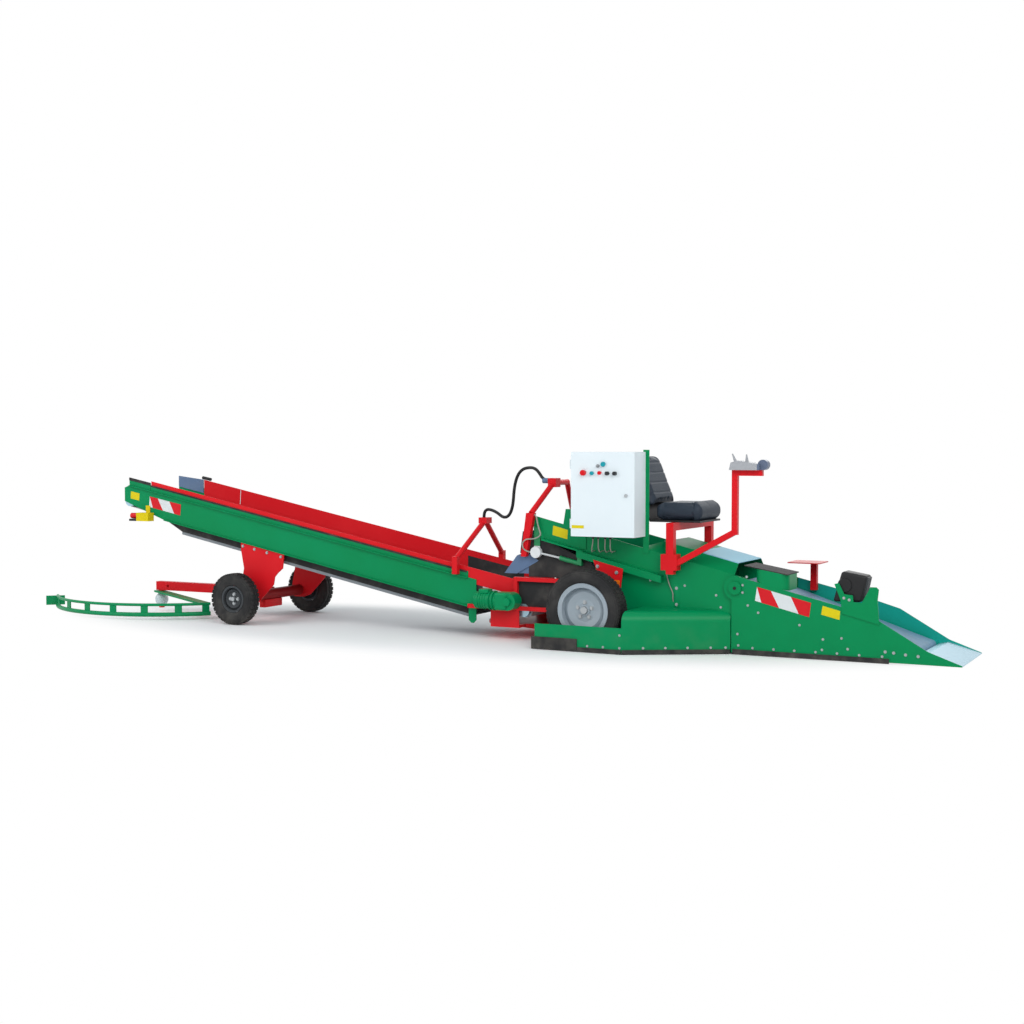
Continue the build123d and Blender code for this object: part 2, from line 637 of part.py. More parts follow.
# Hitch tongue under the elevator head, bored for the swivel pin
TONGUE_Z0, TONGUE_Z1 = 70.0, 92.0
TONGUE_HALF = 250.0
TONGUE_NOSE = 110.0
TONGUE_NOSE_SET = 60.0
TONGUE_WAIST_SET = 260.0
TONGUE_FRONT_X = 40.0
CHEEK_T = 10.0
CHEEK_TOP_Z = 420.0
GUSSET_Y0, GUSSET_Y1 = 120.0, 130.0
GUSSET_SET = 480.0
tongue_outline = [
    (TONGUE_FRONT_X, -INNER_Y),
    (TONGUE_FRONT_X, INNER_Y),
    (SWIVEL_X + TONGUE_WAIST_SET, TONGUE_HALF),
    (SWIVEL_X - TONGUE_NOSE_SET, TONGUE_NOSE),
    (SWIVEL_X - TONGUE_NOSE_SET, -TONGUE_NOSE),
    (SWIVEL_X + TONGUE_WAIST_SET, -TONGUE_HALF),
]
tongue = plan(tongue_outline, TONGUE_Z0, TONGUE_Z1)
gusset_outline = [
    (TONGUE_FRONT_X, TONGUE_Z1),
    (TONGUE_FRONT_X, PAN_Z - SHEET),
    (PANEL_REAR_X, PAN_Z - SHEET),
    (SWIVEL_X + GUSSET_SET, TONGUE_Z1),
]
for sign in (-1, 1):
    near, far = sorted((sign * INNER_Y, sign * (INNER_Y - CHEEK_T)))
    tongue += box(PANEL_REAR_X, TONGUE_FRONT_X, near, far, TONGUE_Z1, CHEEK_TOP_Z)
    near, far = sorted((sign * GUSSET_Y0, sign * GUSSET_Y1))
    tongue += side(gusset_outline, near, far)
tongue -= across(0, TYRE_R, AXLE_R, -WALL_Y, WALL_Y)
tongue -= Pos(SWIVEL_X, 0, TONGUE_Z0) * Cylinder(SWIVEL_PIN_R + PIN_GAP, 4 * (TONGUE_Z1 - TONGUE_Z0))
keep("hitch_tongue", tongue)

# Scoop side plates: a lobe round the hinge, the long top edge and the pointed nose
scoop_top = [
    (HINGE_X, HINGE_Z + LOBE_R),
    (SCOOP_BEND_X, wall_top(SCOOP_BEND_X)),
    SCOOP_SHOULDER,
    (LIP_ROOT_X, LIP_ROOT_Z),
    (LIP_TIP_X, LIP_TIP_Z + SHEET),
    (LIP_TIP_X, SCOOP_FOOT_Z),
]
scoop_outline = scoop_top + [(SCOOP_FOOT_REAR_X, SCOOP_FOOT_Z), (SCOOP_FOOT_REAR_X, HINGE_Z)]
near_scoop = side(scoop_outline, -SCOOP_Y, -SCOOP_Y + SHEET)
near_scoop += across(HINGE_X, HINGE_Z, LOBE_R, -SCOOP_Y, -SCOOP_Y + SHEET)
near_scoop += across(HINGE_X, HINGE_Z, HINGE_PIN_R, -SCOOP_Y, -HEAD_HALF)
near_scoop += across(HINGE_X, HINGE_Z, BOSS_R, -SCOOP_Y - BOSS_T, -SCOOP_Y)
keep("scoop_sides", *both(near_scoop))

# Digging lip of bare plate
SCOOP_IN = SCOOP_Y - SHEET
lip_outline = [
    (LIP_ROOT_X - 70, LIP_ROOT_Z - 30),
    (LIP_ROOT_X, LIP_ROOT_Z - 16),
    (LIP_TIP_X, LIP_TIP_Z + 4),
    (LIP_TIP_X, SCOOP_FOOT_Z),
    (LIP_TIP_X - 30, SCOOP_FOOT_Z),
    (LIP_ROOT_X, LIP_ROOT_Z - 26),
    (LIP_ROOT_X - 70, LIP_ROOT_Z - 40),
]
keep("scoop_lip", side(lip_outline, -SCOOP_IN, SCOOP_IN))

# Scoop belt round a nose roller and the drum on the hinge axis
NOSE_R = 28.0
NOSE_X, NOSE_Z = 2215.0, 62.0
HEAD_X = HINGE_X
HEAD_Z = HINGE_Z
keep("scoop_belt", loop(NOSE_X, NOSE_Z, HEAD_X, HEAD_Z, NOSE_R, BELT_T, BELT_HALF))
keep(
    "scoop_rollers",
    across(NOSE_X, NOSE_Z, NOSE_R, -SCOOP_IN, SCOOP_IN),
    across(HEAD_X, HEAD_Z, NOSE_R, -HEAD_HALF, HEAD_HALF),
)
k = (HEAD_Z - NOSE_Z) / (HEAD_X - NOSE_X)
bed_lift = 14.0
BED_BACK = 115.0
scoop_bed = side(
    [
        (NOSE_X - 60, NOSE_Z - 60 * k + bed_lift),
        (HEAD_X + BED_BACK, HEAD_Z + BED_BACK * k + bed_lift),
        (HEAD_X + BED_BACK, HEAD_Z + BED_BACK * k + bed_lift - SHEET),
        (NOSE_X - 60, NOSE_Z - 60 * k + bed_lift - SHEET),
    ],
    -SCOOP_IN,
    SCOOP_IN,
)
keep("scoop_bed", scoop_bed)
Cross = namedtuple("Cross", "x z radius")
for c in [Cross(1350, 190, 24), Cross(1800, 70, 24)]:
    keep("scoop_bed", across(c.x, c.z, c.radius, -SCOOP_IN, SCOOP_IN))

# Rubber ground strips along the scoop's feet
GROUND_STRIP_X = 2080.0
GROUND_STRIP_SET = 10.0
GROUND_STRIP_TOP = 38.0
strip_x0 = SCOOP_FOOT_REAR_X + GROUND_STRIP_SET
strip = box(strip_x0, GROUND_STRIP_X, -SCOOP_Y - PAD_T, -SCOOP_Y, RUBBER_FOOT_Z, GROUND_STRIP_TOP)
keep("scoop_rubber", *both(strip))

# Round-ended cover over the scoop drive on the near side, with a rubber mat on top
HOOD_X0, HOOD_X1 = 1150.0, 1385.0
HOOD_IN_Y = -90.0
HOOD_RISE = 100.0
HOOD_R = 60.0
hood_top0 = scoop_edge(HOOD_X0) + HOOD_RISE - 8.0
hood_top1 = scoop_edge(HOOD_X1) + HOOD_RISE + 30.0
hood = side(
    [
        (HOOD_X0, scoop_edge(HOOD_X0)),
        (HOOD_X0, hood_top0),
        (HOOD_X1, hood_top1 - 22.0),
        (HOOD_X1, scoop_edge(HOOD_X1)),
    ],
    -SCOOP_Y,
    HOOD_IN_Y,
)
hood = fillet(hood.edges().filter_by(Axis.Z), HOOD_R)
inner = side(
    [
        (HOOD_X0 + SHEET, scoop_edge(HOOD_X0) - HOOD_RISE),
        (HOOD_X0 + SHEET, hood_top0 - SHEET),
        (HOOD_X1 - SHEET, hood_top1 - 22.0 - SHEET),
        (HOOD_X1 - SHEET, scoop_edge(HOOD_X1) - HOOD_RISE),
    ],
    -SCOOP_Y + SHEET,
    HOOD_IN_Y - SHEET,
)
hood -= fillet(inner.edges().filter_by(Axis.Z), HOOD_R - SHEET)
keep("scoop_hood", hood)
MAT_BACK = 75.0
MAT_T = 6.0
mat_k = (hood_top1 - 22.0 - hood_top0) / (HOOD_X1 - HOOD_X0)
mat = side(
    [
        (HOOD_X0 - MAT_BACK, hood_top0 - mat_k * MAT_BACK),
        (HOOD_X1, hood_top1 - 22.0),
        (HOOD_X1, hood_top1 - 22.0 + MAT_T),
        (HOOD_X0 - MAT_BACK, hood_top0 - mat_k * MAT_BACK + MAT_T),
    ],
    -SCOOP_Y,
    HOOD_IN_Y,
)
keep("scoop_rubber", mat)

# Foot plate on its post at the far side
FOOT_Z = 611.0
FOOT_T = 8.0
FOOT_X0, FOOT_X1 = 1235.0, 1470.0
FOOT_IN_Y = 130.0
FOOT_POST_X = 1352.0
FOOT_POST = 45.0
FOOT_LAP = 30.0
post_z = wall_top(FOOT_POST_X) - 2 * FOOT_LAP
post_y = SCOOP_IN - FOOT_POST
foot = box(FOOT_POST_X, FOOT_POST_X + FOOT_POST, post_y, SCOOP_IN, post_z, post_z + FOOT_LAP)
foot += box(FOOT_POST_X, FOOT_POST_X + FOOT_POST, post_y, SCOOP_IN - STRIP_GAP, post_z, FOOT_Z)
foot += box(FOOT_X0, FOOT_X1, FOOT_IN_Y, SCOOP_IN, FOOT_Z, FOOT_Z + FOOT_T)
keep("foot_plate", foot)

# Work lamp: a square housing between two ears on the near plate
LAMP_X0, LAMP_X1 = 1752.0, 1942.0
LAMP_Z0, LAMP_Z1 = 424.0, 606.0
LAMP_DEEP = 170.0
LAMP_R = 24.0
LAMP_DROP = 22.0
lamp = side(
    [
        (LAMP_X0, LAMP_Z0),
        (LAMP_X0 - 10.0, LAMP_Z1),
        (LAMP_X1, LAMP_Z1 - LAMP_DROP),
        (LAMP_X1 - 18.0, LAMP_Z0 - LAMP_DROP / 2),
    ],
    -SCOOP_Y,
    -SCOOP_Y + LAMP_DEEP,
)
keep("work_lamp", fillet(lamp.edges(), LAMP_R))
EAR_T = 8.0
EAR_W = 52.0
EAR_TOP = 500.0
Ear = namedtuple("Ear", "x foot top")
EARS = [Ear(1768.0, 300.0, EAR_TOP), Ear(1902.0, 270.0, EAR_TOP - 30.0)]
for ear in EARS:
    keep("lamp_strap", box(ear.x, ear.x + EAR_W, -SCOOP_Y - EAR_T, -SCOOP_Y, ear.foot, ear.top))

# Trailing conveyor walls, with a rounded drop at the low end and a raised near end plate
TAIL_DROP_Z = 108.0
TAIL_DROP_W = 65.0
TAIL_DROP_R = 22.0
END_CUT_X = -4050.0
END_TOP = 34.0
END_FOOT = 150.0
END_TAPER = 60.0
END_PLATE_X0, END_PLATE_X1 = -4436.0, -4204.0
END_PLATE_H = 62.0
LIP_LOW_X = CONV_LOW_X - TAIL_DROP_W - SHEET
conv_outline = [
    (CONV_LOW_X, conv_top(CONV_LOW_X)),
    (CONV_LOW_X, TAIL_DROP_Z + TAIL_DROP_R),
    (CONV_LOW_X - TAIL_DROP_R, TAIL_DROP_Z),
    (CONV_LOW_X - TAIL_DROP_W + TAIL_DROP_R, TAIL_DROP_Z),
    (CONV_LOW_X - TAIL_DROP_W, TAIL_DROP_Z + TAIL_DROP_R),
    (CONV_LOW_X - TAIL_DROP_W, conv_top(CONV_LOW_X - TAIL_DROP_W) - CONV_DEPTH),
    (END_CUT_X, conv_top(END_CUT_X) - CONV_DEPTH),
    (CONV_HIGH_X, conv_top(CONV_HIGH_X) - END_FOOT),
    (CONV_HIGH_X, conv_top(CONV_HIGH_X) - END_TOP),
    (CONV_HIGH_X + END_TAPER, conv_top(CONV_HIGH_X + END_TAPER)),
]
conv_near = side(conv_outline, -CONV_Y, -CONV_IN)


def conv_strip(x0, x1, drop0, drop1, y0, y1):
    """A strip along the conveyor's slope, between two depths below its top."""
    points = [
        (x0, conv_top(x0) - drop0),
        (x1, conv_top(x1) - drop0),
        (x1, conv_top(x1) - drop1),
        (x0, conv_top(x0) - drop1),
    ]
    return side(points, y0, y1)


lip_high = CONV_HIGH_X + END_TAPER
conv_near += conv_strip(LIP_LOW_X, lip_high, 0.0, SHEET, -CONV_Y - FLANGE / 2, -CONV_IN)
conv_near += conv_strip(LIP_LOW_X, END_CUT_X, CONV_DEPTH - SHEET, CONV_DEPTH, -CONV_Y - FLANGE / 2, -CONV_IN)
UPSTAND_H = 46.0
conv_near += conv_strip(LIP_LOW_X, BOARD_HIGH_X, -UPSTAND_H, BOARD_FOOT, -CONV_Y, -CONV_IN)
conv_far = mirrored(conv_near)
conv_near += conv_strip(END_PLATE_X0, END_PLATE_X1, -END_PLATE_H, BOARD_FOOT, -CONV_Y, -CONV_IN)
keep("conveyor_sides", conv_near, conv_far)

# Red side boards on the channel tops
board = conv_strip(BOARD_LOW_X, BOARD_HIGH_X, -BOARD_H, BOARD_FOOT, -CONV_IN, -CONV_IN + BOARD_T)
keep("side_boards", *both(board))

# Conveyor belt, drums and slider bed
CONV_BELT_DROP = 85.0
CONV_TAIL_X = -640.0
CONV_HEAD_X = -4440.0
tail_z = conv_top(CONV_TAIL_X) - CONV_BELT_DROP - DRUM_R
head_z = conv_top(CONV_HEAD_X) - CONV_BELT_DROP - DRUM_R
keep("conveyor_belt", loop(CONV_TAIL_X, tail_z, CONV_HEAD_X, head_z, DRUM_R, BELT_T, BELT_HALF))
keep(
    "conveyor_drums",
    across(CONV_TAIL_X, tail_z, DRUM_R, -CONV_Y, CONV_Y),
    across(CONV_HEAD_X, head_z, DRUM_R, -CONV_IN, CONV_IN),
)
keep("conveyor_bed", slider(CONV_TAIL_X, tail_z, CONV_HEAD_X, head_z, bed_z, CONV_IN))

# Shallow tray hung under the conveyor's returning belt
TRAY_X0, TRAY_X1 = -1130.0, -3900.0
TRAY_HANG = 56.0
TRAY_DEEP = 52.0
TRAY_SHEET = 4.0
HANGER_W = 30.0
HANGER_ROD_R = 8.0
HANGER_GAP = 7.0
hanger_drop = CONV_BELT_DROP + 2 * DRUM_R + BELT_T + HANGER_GAP
tray_top = hanger_drop + TRAY_HANG
tray_foot = tray_top + TRAY_DEEP
HANGERS_X = (-1300.0, -2100.0, -2760.0, -3700.0)
tray_in = BELT_HALF - TRAY_SHEET
tray = conv_strip(TRAY_X0, TRAY_X1, tray_foot - TRAY_SHEET, tray_foot, -BELT_HALF, BELT_HALF)
for sign in (-1, 1):
    near, far = sorted((sign * tray_in, sign * BELT_HALF))
    tray += conv_strip(TRAY_X0, TRAY_X1, tray_top, tray_foot, near, far)
    for x in HANGERS_X:
        tray += conv_strip(x, x - HANGER_W, hanger_drop, tray_foot, near, far)
for x in HANGERS_X:
    mid = x - HANGER_W / 2
    tray += across(mid, conv_top(mid) - hanger_drop - HANGER_ROD_R, HANGER_ROD_R, -CONV_IN, CONV_IN)
keep("return_tray", tray)

# Red hopper frame round the conveyor's low end, with rubber inside it
FRAME_TUBE = 30.0
FRAME_BACK_X = CONV_LOW_X - TAIL_DROP_W + SHEET
HOPPER_REAR_X = -707.0
HOPPER_FRONT_X = -340.0
HOPPER_Z0, HOPPER_Z1 = 225.0, 475.0
RUBBER_T = 8.0
FLOOR_LIFT = 60.0
frame_out = CONV_Y + FRAME_TUBE
tube_front = HOPPER_FRONT_X + FRAME_TUBE
frame = None
for z in (HOPPER_Z0, HOPPER_Z1 - FRAME_TUBE):
    rear = FRAME_BACK_X if z == HOPPER_Z0 else HOPPER_REAR_X
    bar = box(HOPPER_FRONT_X, tube_front, -frame_out, frame_out, z, z + FRAME_TUBE)
    for sign in (-1, 1):
        near, far = sorted((sign * CONV_Y, sign * frame_out))
        bar += box(rear, tube_front, near, far, z, z + FRAME_TUBE)
    frame = bar if frame is None else frame + bar
for sign in (-1, 1):
    near, far = sorted((sign * CONV_Y, sign * frame_out))
    for x in (HOPPER_REAR_X, HOPPER_FRONT_X):
        frame += box(x, x + FRAME_TUBE, near, far, HOPPER_Z0, HOPPER_Z1)
keep("hopper_rim", frame)
hop_in = CONV_Y - RUBBER_T
hop_z0 = HOPPER_Z0 + FRAME_TUBE
hopper = box(HOPPER_REAR_X, HOPPER_FRONT_X, -CONV_Y, CONV_Y, hop_z0, HOPPER_Z1)
hopper -= box(HOPPER_REAR_X - 1, HOPPER_FRONT_X - RUBBER_T, -hop_in, hop_in, hop_z0 - 1, HOPPER_Z1 + 1)
floor_x = CONV_TAIL_X + DRUM_R + BELT_T + RUN_GAP
floor_z = hop_z0 + FLOOR_LIFT
hopper += box(floor_x, HOPPER_FRONT_X, -hop_in, hop_in, floor_z, floor_z + RUBBER_T)
hopper -= across(CONV_TAIL_X, tail_z, DRUM_R, -CONV_Y, CONV_Y)
keep("hopper", hopper)

# Turntable plate and pin under the conveyor's low end
TURN_LIFT = 2.0
TURN_T = 20.0
TURN_R = 300.0
TURN_HALF = 120.0
PIN_DROP = 8.0
TURN_Z0, TURN_Z1 = TONGUE_Z1 + TURN_LIFT, TONGUE_Z1 + TURN_LIFT + TURN_T
turn = Pos(SWIVEL_X, 0, (TURN_Z0 + TURN_Z1) / 2) * Cylinder(TURN_R, TURN_T)
turn += box(SWIVEL_X - TURN_HALF, SWIVEL_X + TURN_HALF, -frame_out, frame_out, TURN_Z0, TURN_Z1)
turn += rod((SWIVEL_X, 0, TONGUE_Z0 - PIN_DROP), (SWIVEL_X, 0, TURN_Z1), SWIVEL_PIN_R)
for sign in (-1, 1):
    near, far = sorted((sign * (frame_out - SHEET), sign * frame_out))
    turn += box(SWIVEL_X - TURN_HALF, SWIVEL_X + TURN_HALF, near, far, TURN_Z0, HOPPER_Z0)
keep("turntable", turn)

# Gearmotor on the near frame tube
GEAR_X0, GEAR_X1, GEAR_X2 = -985.0, -815.0, -640.0
GEAR_Z = 298.0
MOTOR_BODY_R = 62.0
GEAR_HALF = 66.0
GEAR_DEEP = 122.0
gear_y1 = -frame_out
gear_y = gear_y1 - GEAR_DEEP / 2
gear = box(GEAR_X1, GEAR_X2 - GEAR_HALF, gear_y1 - GEAR_DEEP, gear_y1, GEAR_Z - GEAR_HALF, GEAR_Z + GEAR_HALF)
gear = fillet(gear.edges(), 20.0)
gear += across(GEAR_X2 - GEAR_HALF, GEAR_Z, GEAR_HALF, gear_y1 - GEAR_DEEP + 12.0, gear_y1)
gear += rod((GEAR_X0, gear_y, GEAR_Z), (GEAR_X1 + 20.0, gear_y, GEAR_Z), MOTOR_BODY_R)
keep("gearmotor", gear)

# Leg plates down to the trailing axle
LEG_X0, LEG_X1 = -3245.0, -2813.0
leg_outline = [
    (LEG_X0, conv_top(LEG_X0) - CONV_DEPTH),
    (LEG_X1, conv_top(LEG_X1) - CONV_DEPTH),
    (LEG_X1 - 12.0, 459.0),
    (LEG_X1 - 60.0, 420.0),
    (LEG_X1 - 92.0, 385.0),
    (LEG_X1 - 104.0, 322.0),
    (-3064.0, 174.0),
    (-3130.0, 150.0),
    (-3230.0, 150.0),
    (-3262.0, 210.0),
    (-3214.0, 448.0),
    (-3243.0, 596.0),
]
LEG_T = 10.0
leg = side(leg_outline, -CONV_Y - LEG_T, -CONV_Y)
leg -= across(SMALL_X, SMALL_R, SMALL_AXLE_R, -CONV_Y - LEG_T - 1, -CONV_Y + 1)
keep("leg_plates", *both(leg))

# Trailing axle beam with a flange at each wheel
SMALL_FACE_Y = SMALL_Y - SMALL_HUB_SET
small_axle = across(SMALL_X, SMALL_R, SMALL_AXLE_R, -SMALL_FACE_Y, SMALL_FACE_Y)
keep("trailing_axle", small_axle)

# Tail arm with its round foot, and the guide rail that it carries
ARM_Z0, ARM_Z1 = 186.0, 262.0
ARM_HALF = 32.0
ARM_OVER = 35.0
PIVOT_X = -4400.0
PIVOT_R = 24.0
PIVOT_FOOT_Z = 30.0
COUPLING_AHEAD = 95.0
COUPLING_R = 13.0
arm_front_x = SMALL_X - SMALL_AXLE_R / 2
tail_arm = box(PIVOT_X - ARM_OVER, arm_front_x, -ARM_HALF, ARM_HALF, ARM_Z0, ARM_Z1)
tail_arm -= across(SMALL_X, SMALL_R, SMALL_AXLE_R, -2 * ARM_HALF, 2 * ARM_HALF)
coupling_z = (ARM_Z0 + ARM_Z1) / 2
tail_arm -= across(PIVOT_X + COUPLING_AHEAD, coupling_z, COUPLING_R, -2 * ARM_HALF, 2 * ARM_HALF)
tail_arm += rod((PIVOT_X, 0, PIVOT_FOOT_Z), (PIVOT_X, 0, ARM_Z0), PIVOT_R)
keep("tail_arm", tail_arm)
KNOB_R = 58.0
KNOB_Z = 104.0
keep("tail_knob", Pos(PIVOT_X, 0, KNOB_Z) * (Sphere(KNOB_R) - Cylinder(PIVOT_R, 4 * KNOB_R)))
GUIDE_LOW_Z = 46.0
GUIDE_LOW_R = 18.0
GUIDE_UP_Z = 128.0
GUIDE_UP_R = 12.0
span = GUIDE_STOP_DEG - GUIDE_START_DEG
guide = None
for z, r in ((GUIDE_LOW_Z, GUIDE_LOW_R), (GUIDE_UP_Z, GUIDE_UP_R)):
    disc = Plane(origin=(GUIDE_R, 0, z), z_dir=(0, 1, 0)) * Circle(r)
    ring = revolve(disc, axis=Axis.Z, revolution_arc=span)
    ring = Rot(0, 0, GUIDE_START_DEG) * ring
    guide = ring if guide is None else guide + ring
GUIDE_PLATE_T = 6.0
GUIDE_POST_W = 60.0
GUIDE_POST_T = 10.0
GUIDE_POSTS_DEG = (233.0, 248.0, 263.0, 278.0, 293.0, 308.0, GUIDE_STOP_DEG - 2.0)
guide_h = GUIDE_UP_Z - GUIDE_LOW_Z
for angle in GUIDE_POSTS_DEG:
    post = Box(GUIDE_POST_T, GUIDE_POST_W, guide_h, align=(Align.CENTER, Align.CENTER, Align.MIN))
    guide += Rot(0, 0, angle) * Pos(GUIDE_R, 0, GUIDE_LOW_Z) * post
plate_len = GUIDE_END_IN + GUIDE_END_OUT
plate_deg = GUIDE_START_DEG + degrees(atan(GUIDE_PLATE_T / 2 / (GUIDE_R + GUIDE_END_OUT)))
end_plate = Box(plate_len, GUIDE_PLATE_T, guide_h, align=(Align.MIN, Align.CENTER, Align.MIN))
guide += Rot(0, 0, plate_deg) * Pos(GUIDE_R - GUIDE_END_IN, 0, GUIDE_LOW_Z) * end_plate
guide = Pos(GUIDE_X, GUIDE_Y, 0) * guide
stop = radians(GUIDE_STOP_DEG - 2.0)
strut_x = GUIDE_X + GUIDE_R * cos(stop)
strut_y = GUIDE_Y + GUIDE_R * sin(stop)
STRUT_W = 90.0
STRUT_T = 16.0
STRUT_OVER = 34.0
strut_z0 = (KNOB_Z + KNOB_R + ARM_Z0) / 2
guide += beam((PIVOT_X - STRUT_OVER, 0, strut_z0), (strut_x, strut_y, GUIDE_UP_Z), STRUT_W, STRUT_T)
guide -= rod((PIVOT_X, 0, 0), (PIVOT_X, 0, ARM_Z0), PIVOT_R)
keep("guide_rail", guide)

# Front arch on the conveyor
Foot = namedtuple("Foot", "x y z")
TOP_1 = (-1155.0, 0.0, 872.0)
TOP_BLOCK = (70.0, 90.0, 46.0)
FOOT_BLOCK = 44.0
FRONT_FOOT_X = -1205.0
FRONT_FOOT_Z = 590.0
front_foot_y = CONV_Y + FOOT_BLOCK / 2
front = Pos(*TOP_1) * Box(*TOP_BLOCK)
for f in (Foot(FRONT_FOOT_X, -front_foot_y, FRONT_FOOT_Z), Foot(FRONT_FOOT_X, front_foot_y, FRONT_FOOT_Z)):
    front += rod((f.x, f.y, f.z), TOP_1, ARCH_R)
    half = FOOT_BLOCK / 2
    foot_z = conv_top(f.x - half)
    front += box(f.x - half, f.x + half, f.y - half, f.y + half, foot_z, f.z + half)
keep("arch_front", front)

# Stop switch under the high end, and the rubber flap on the far board's end
SWITCH_X0, SWITCH_X1 = -4296.0, -4166.0
SWITCH_Z0, SWITCH_Z1 = 815.0, 886.0
SWITCH_DEEP = 74.0
SWITCH_STRAP = 44.0
STOP_R = 24.0
STOP_REACH = 78.0
SHELF_Z = 833.0
sw_y1 = -CONV_Y - SHEET
sw_y0 = sw_y1 - SWITCH_DEEP
sw_mid = (SWITCH_X0 + SWITCH_X1) / 2
switch = box(SWITCH_X0, SWITCH_X1, sw_y0, sw_y1, SWITCH_Z0, SWITCH_Z1)
strap_top = conv_top(sw_mid) - CONV_DEPTH + SWITCH_STRAP * 2
switch += box(sw_mid - SWITCH_STRAP / 2, sw_mid + SWITCH_STRAP / 2, sw_y1, -CONV_Y, SWITCH_Z0, strap_top)
stop_z = SHELF_Z + STOP_R + STRIP_GAP
stop_y = (sw_y0 + sw_y1) / 2
switch += rod((SWITCH_X0, stop_y, stop_z), (SWITCH_X0 - STOP_REACH, stop_y, stop_z), STOP_R)
switch += box(SWITCH_X0 - STOP_REACH, SWITCH_X0, sw_y0, sw_y1, SWITCH_Z0, SHELF_Z)
keep("stop_switch", switch)
FLAP_T = 8.0
FLAP_X0, FLAP_X1 = -4485.0, -4206.0
flap = side(
    [
        (FLAP_X0, conv_top(FLAP_X0) - BOARD_FOOT),
        (FLAP_X1, conv_top(FLAP_X1) - BOARD_FOOT),
        (FLAP_X1, conv_top(FLAP_X1) + BOARD_H),
        (FLAP_X0, conv_top(FLAP_X0) + BOARD_H - 24.0),
    ],
    CONV_IN - FLAP_T,
    CONV_IN,
)
keep("end_flap", flap)

# Wheels: a dished rim and a tyre on each hub
Wheel = namedtuple("Wheel", "name x y radius width rim hub face studs")
DRIVE = (TYRE_R, TYRE_W, RIM_R, HUB_R, HUB_FACE_Y, STUDS)
SMALL = (SMALL_R, SMALL_W, SMALL_RIM_R, SMALL_HUB_R, SMALL_FACE_Y, SMALL_STUDS)
WHEELS = [
    Wheel("drive_near", 0.0, -TRACK_Y, *DRIVE),
    Wheel("drive_far", 0.0, TRACK_Y, *DRIVE),
    Wheel("small_near", SMALL_X, -SMALL_Y, *SMALL),
    Wheel("small_far", SMALL_X, SMALL_Y, *SMALL),
]
for w in WHEELS:
    out = -1 if w.y < 0 else 1
    half = w.width / 2
    crown = 0.06 * w.radius
    tyre = [
        (-half * 0.72, w.rim),
        (-half, w.rim + (w.radius - w.rim) * 0.45),
        (-half * 0.93, w.radius - crown * 1.6),
        (-half * 0.74, w.radius - crown * 0.3),
        (0, w.radius),
        (half * 0.74, w.radius - crown * 0.3),
        (half * 0.93, w.radius - crown * 1.6),
        (half, w.rim + (w.radius - w.rim) * 0.45),
        (half * 0.72, w.rim),
    ]
    keep("tyre_" + w.name, turned(tyre, w.x, w.y, w.radius))
    well = w.rim * 0.84
    flange = half * 0.78
    disc = half * 0.30
    inner = abs(w.y) - w.face - PIN_GAP
    rim = [
        (-inner, 0),
        (disc + 10, 0),
        (disc + 10, w.hub * 0.55),
        (disc, w.hub * 0.6),
        (disc, w.hub + 12),
        (disc + 14, w.rim * 0.66),
        (disc - 4, well - 4),
        (flange, well),
        (flange, w.rim),
        (half * 0.70, w.rim),
        (half * 0.60, well + 5),
        (-half * 0.60, well + 5),
        (-half * 0.70, w.rim),
        (-flange, w.rim),
        (-flange, well),
        (disc - 12, well - 9),
        (disc + 6, w.rim * 0.66),
        (disc - 8, w.hub + 8),
        (disc - 8, w.hub),
        (-inner, w.hub),
    ]
    rim = [(out * y, r) for y, r in rim]
    body = turned(rim, w.x, w.y, w.radius)
    pitch = w.hub * 0.8
    for i in range(w.studs):
        turn_angle = radians(360 / w.studs * i + 90)
        sx = w.x + pitch * cos(turn_angle)
        sz = w.radius + pitch * sin(turn_angle)
        ends = sorted((w.y + out * (disc - 30), w.y + out * (disc + 30)))
        body -= across(sx, sz, STUD_HOLE_R, ends[0], ends[1])
    keep("rim_" + w.name, body)

# Control cable across the swivel, hung between the two arches
CABLE_R = 12.0
CABLE_FOOT_X = TOP_1[0] - 10.0
cable_foot_z = TOP_1[2] + TOP_BLOCK[2] / 2 + PIN_GAP
CABLE = [
    (CABLE_FOOT_X, 0.0, cable_foot_z),
    (CABLE_FOOT_X, 0.0, 962.0),
    (-1060.0, -20.0, 952.0),
    (-955.0, -45.0, 885.0),
    (-882.0, -60.0, 955.0),
    (-862.0, -70.0, 1170.0),
    (-800.0, -85.0, 1275.0),
    (-700.0, -95.0, 1292.0),
    (-645.0, -105.0, 1268.0),
    (-592.0, -110.0, 1190.0),
    (clamp_x0 - PIN_GAP, (CLAMP_Y0 + CLAMP_Y1) / 2, 1190.0),
]
CABLE_BEND = 28.0
route = FilletPolyline(*CABLE, radius=CABLE_BEND)
keep("control_cable", sweep(Plane(origin=route @ 0, z_dir=route % 0) * Circle(CABLE_R), path=route))

os.makedirs("parts", exist_ok=True)
for name, shapes in PARTS.items():
    solids = [s for shape in shapes for s in shape.solids()]
    placed = [s.moved(Location((SHIFT_X, 0, 0))) for s in solids]
    whole = placed[0] if len(placed) == 1 else Compound(children=placed)
    whole.label = name
    export_step(whole, "parts/" + name + ".step")
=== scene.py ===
"""Potato scoop loader with a trailing swivel conveyor, dressed for the studio."""

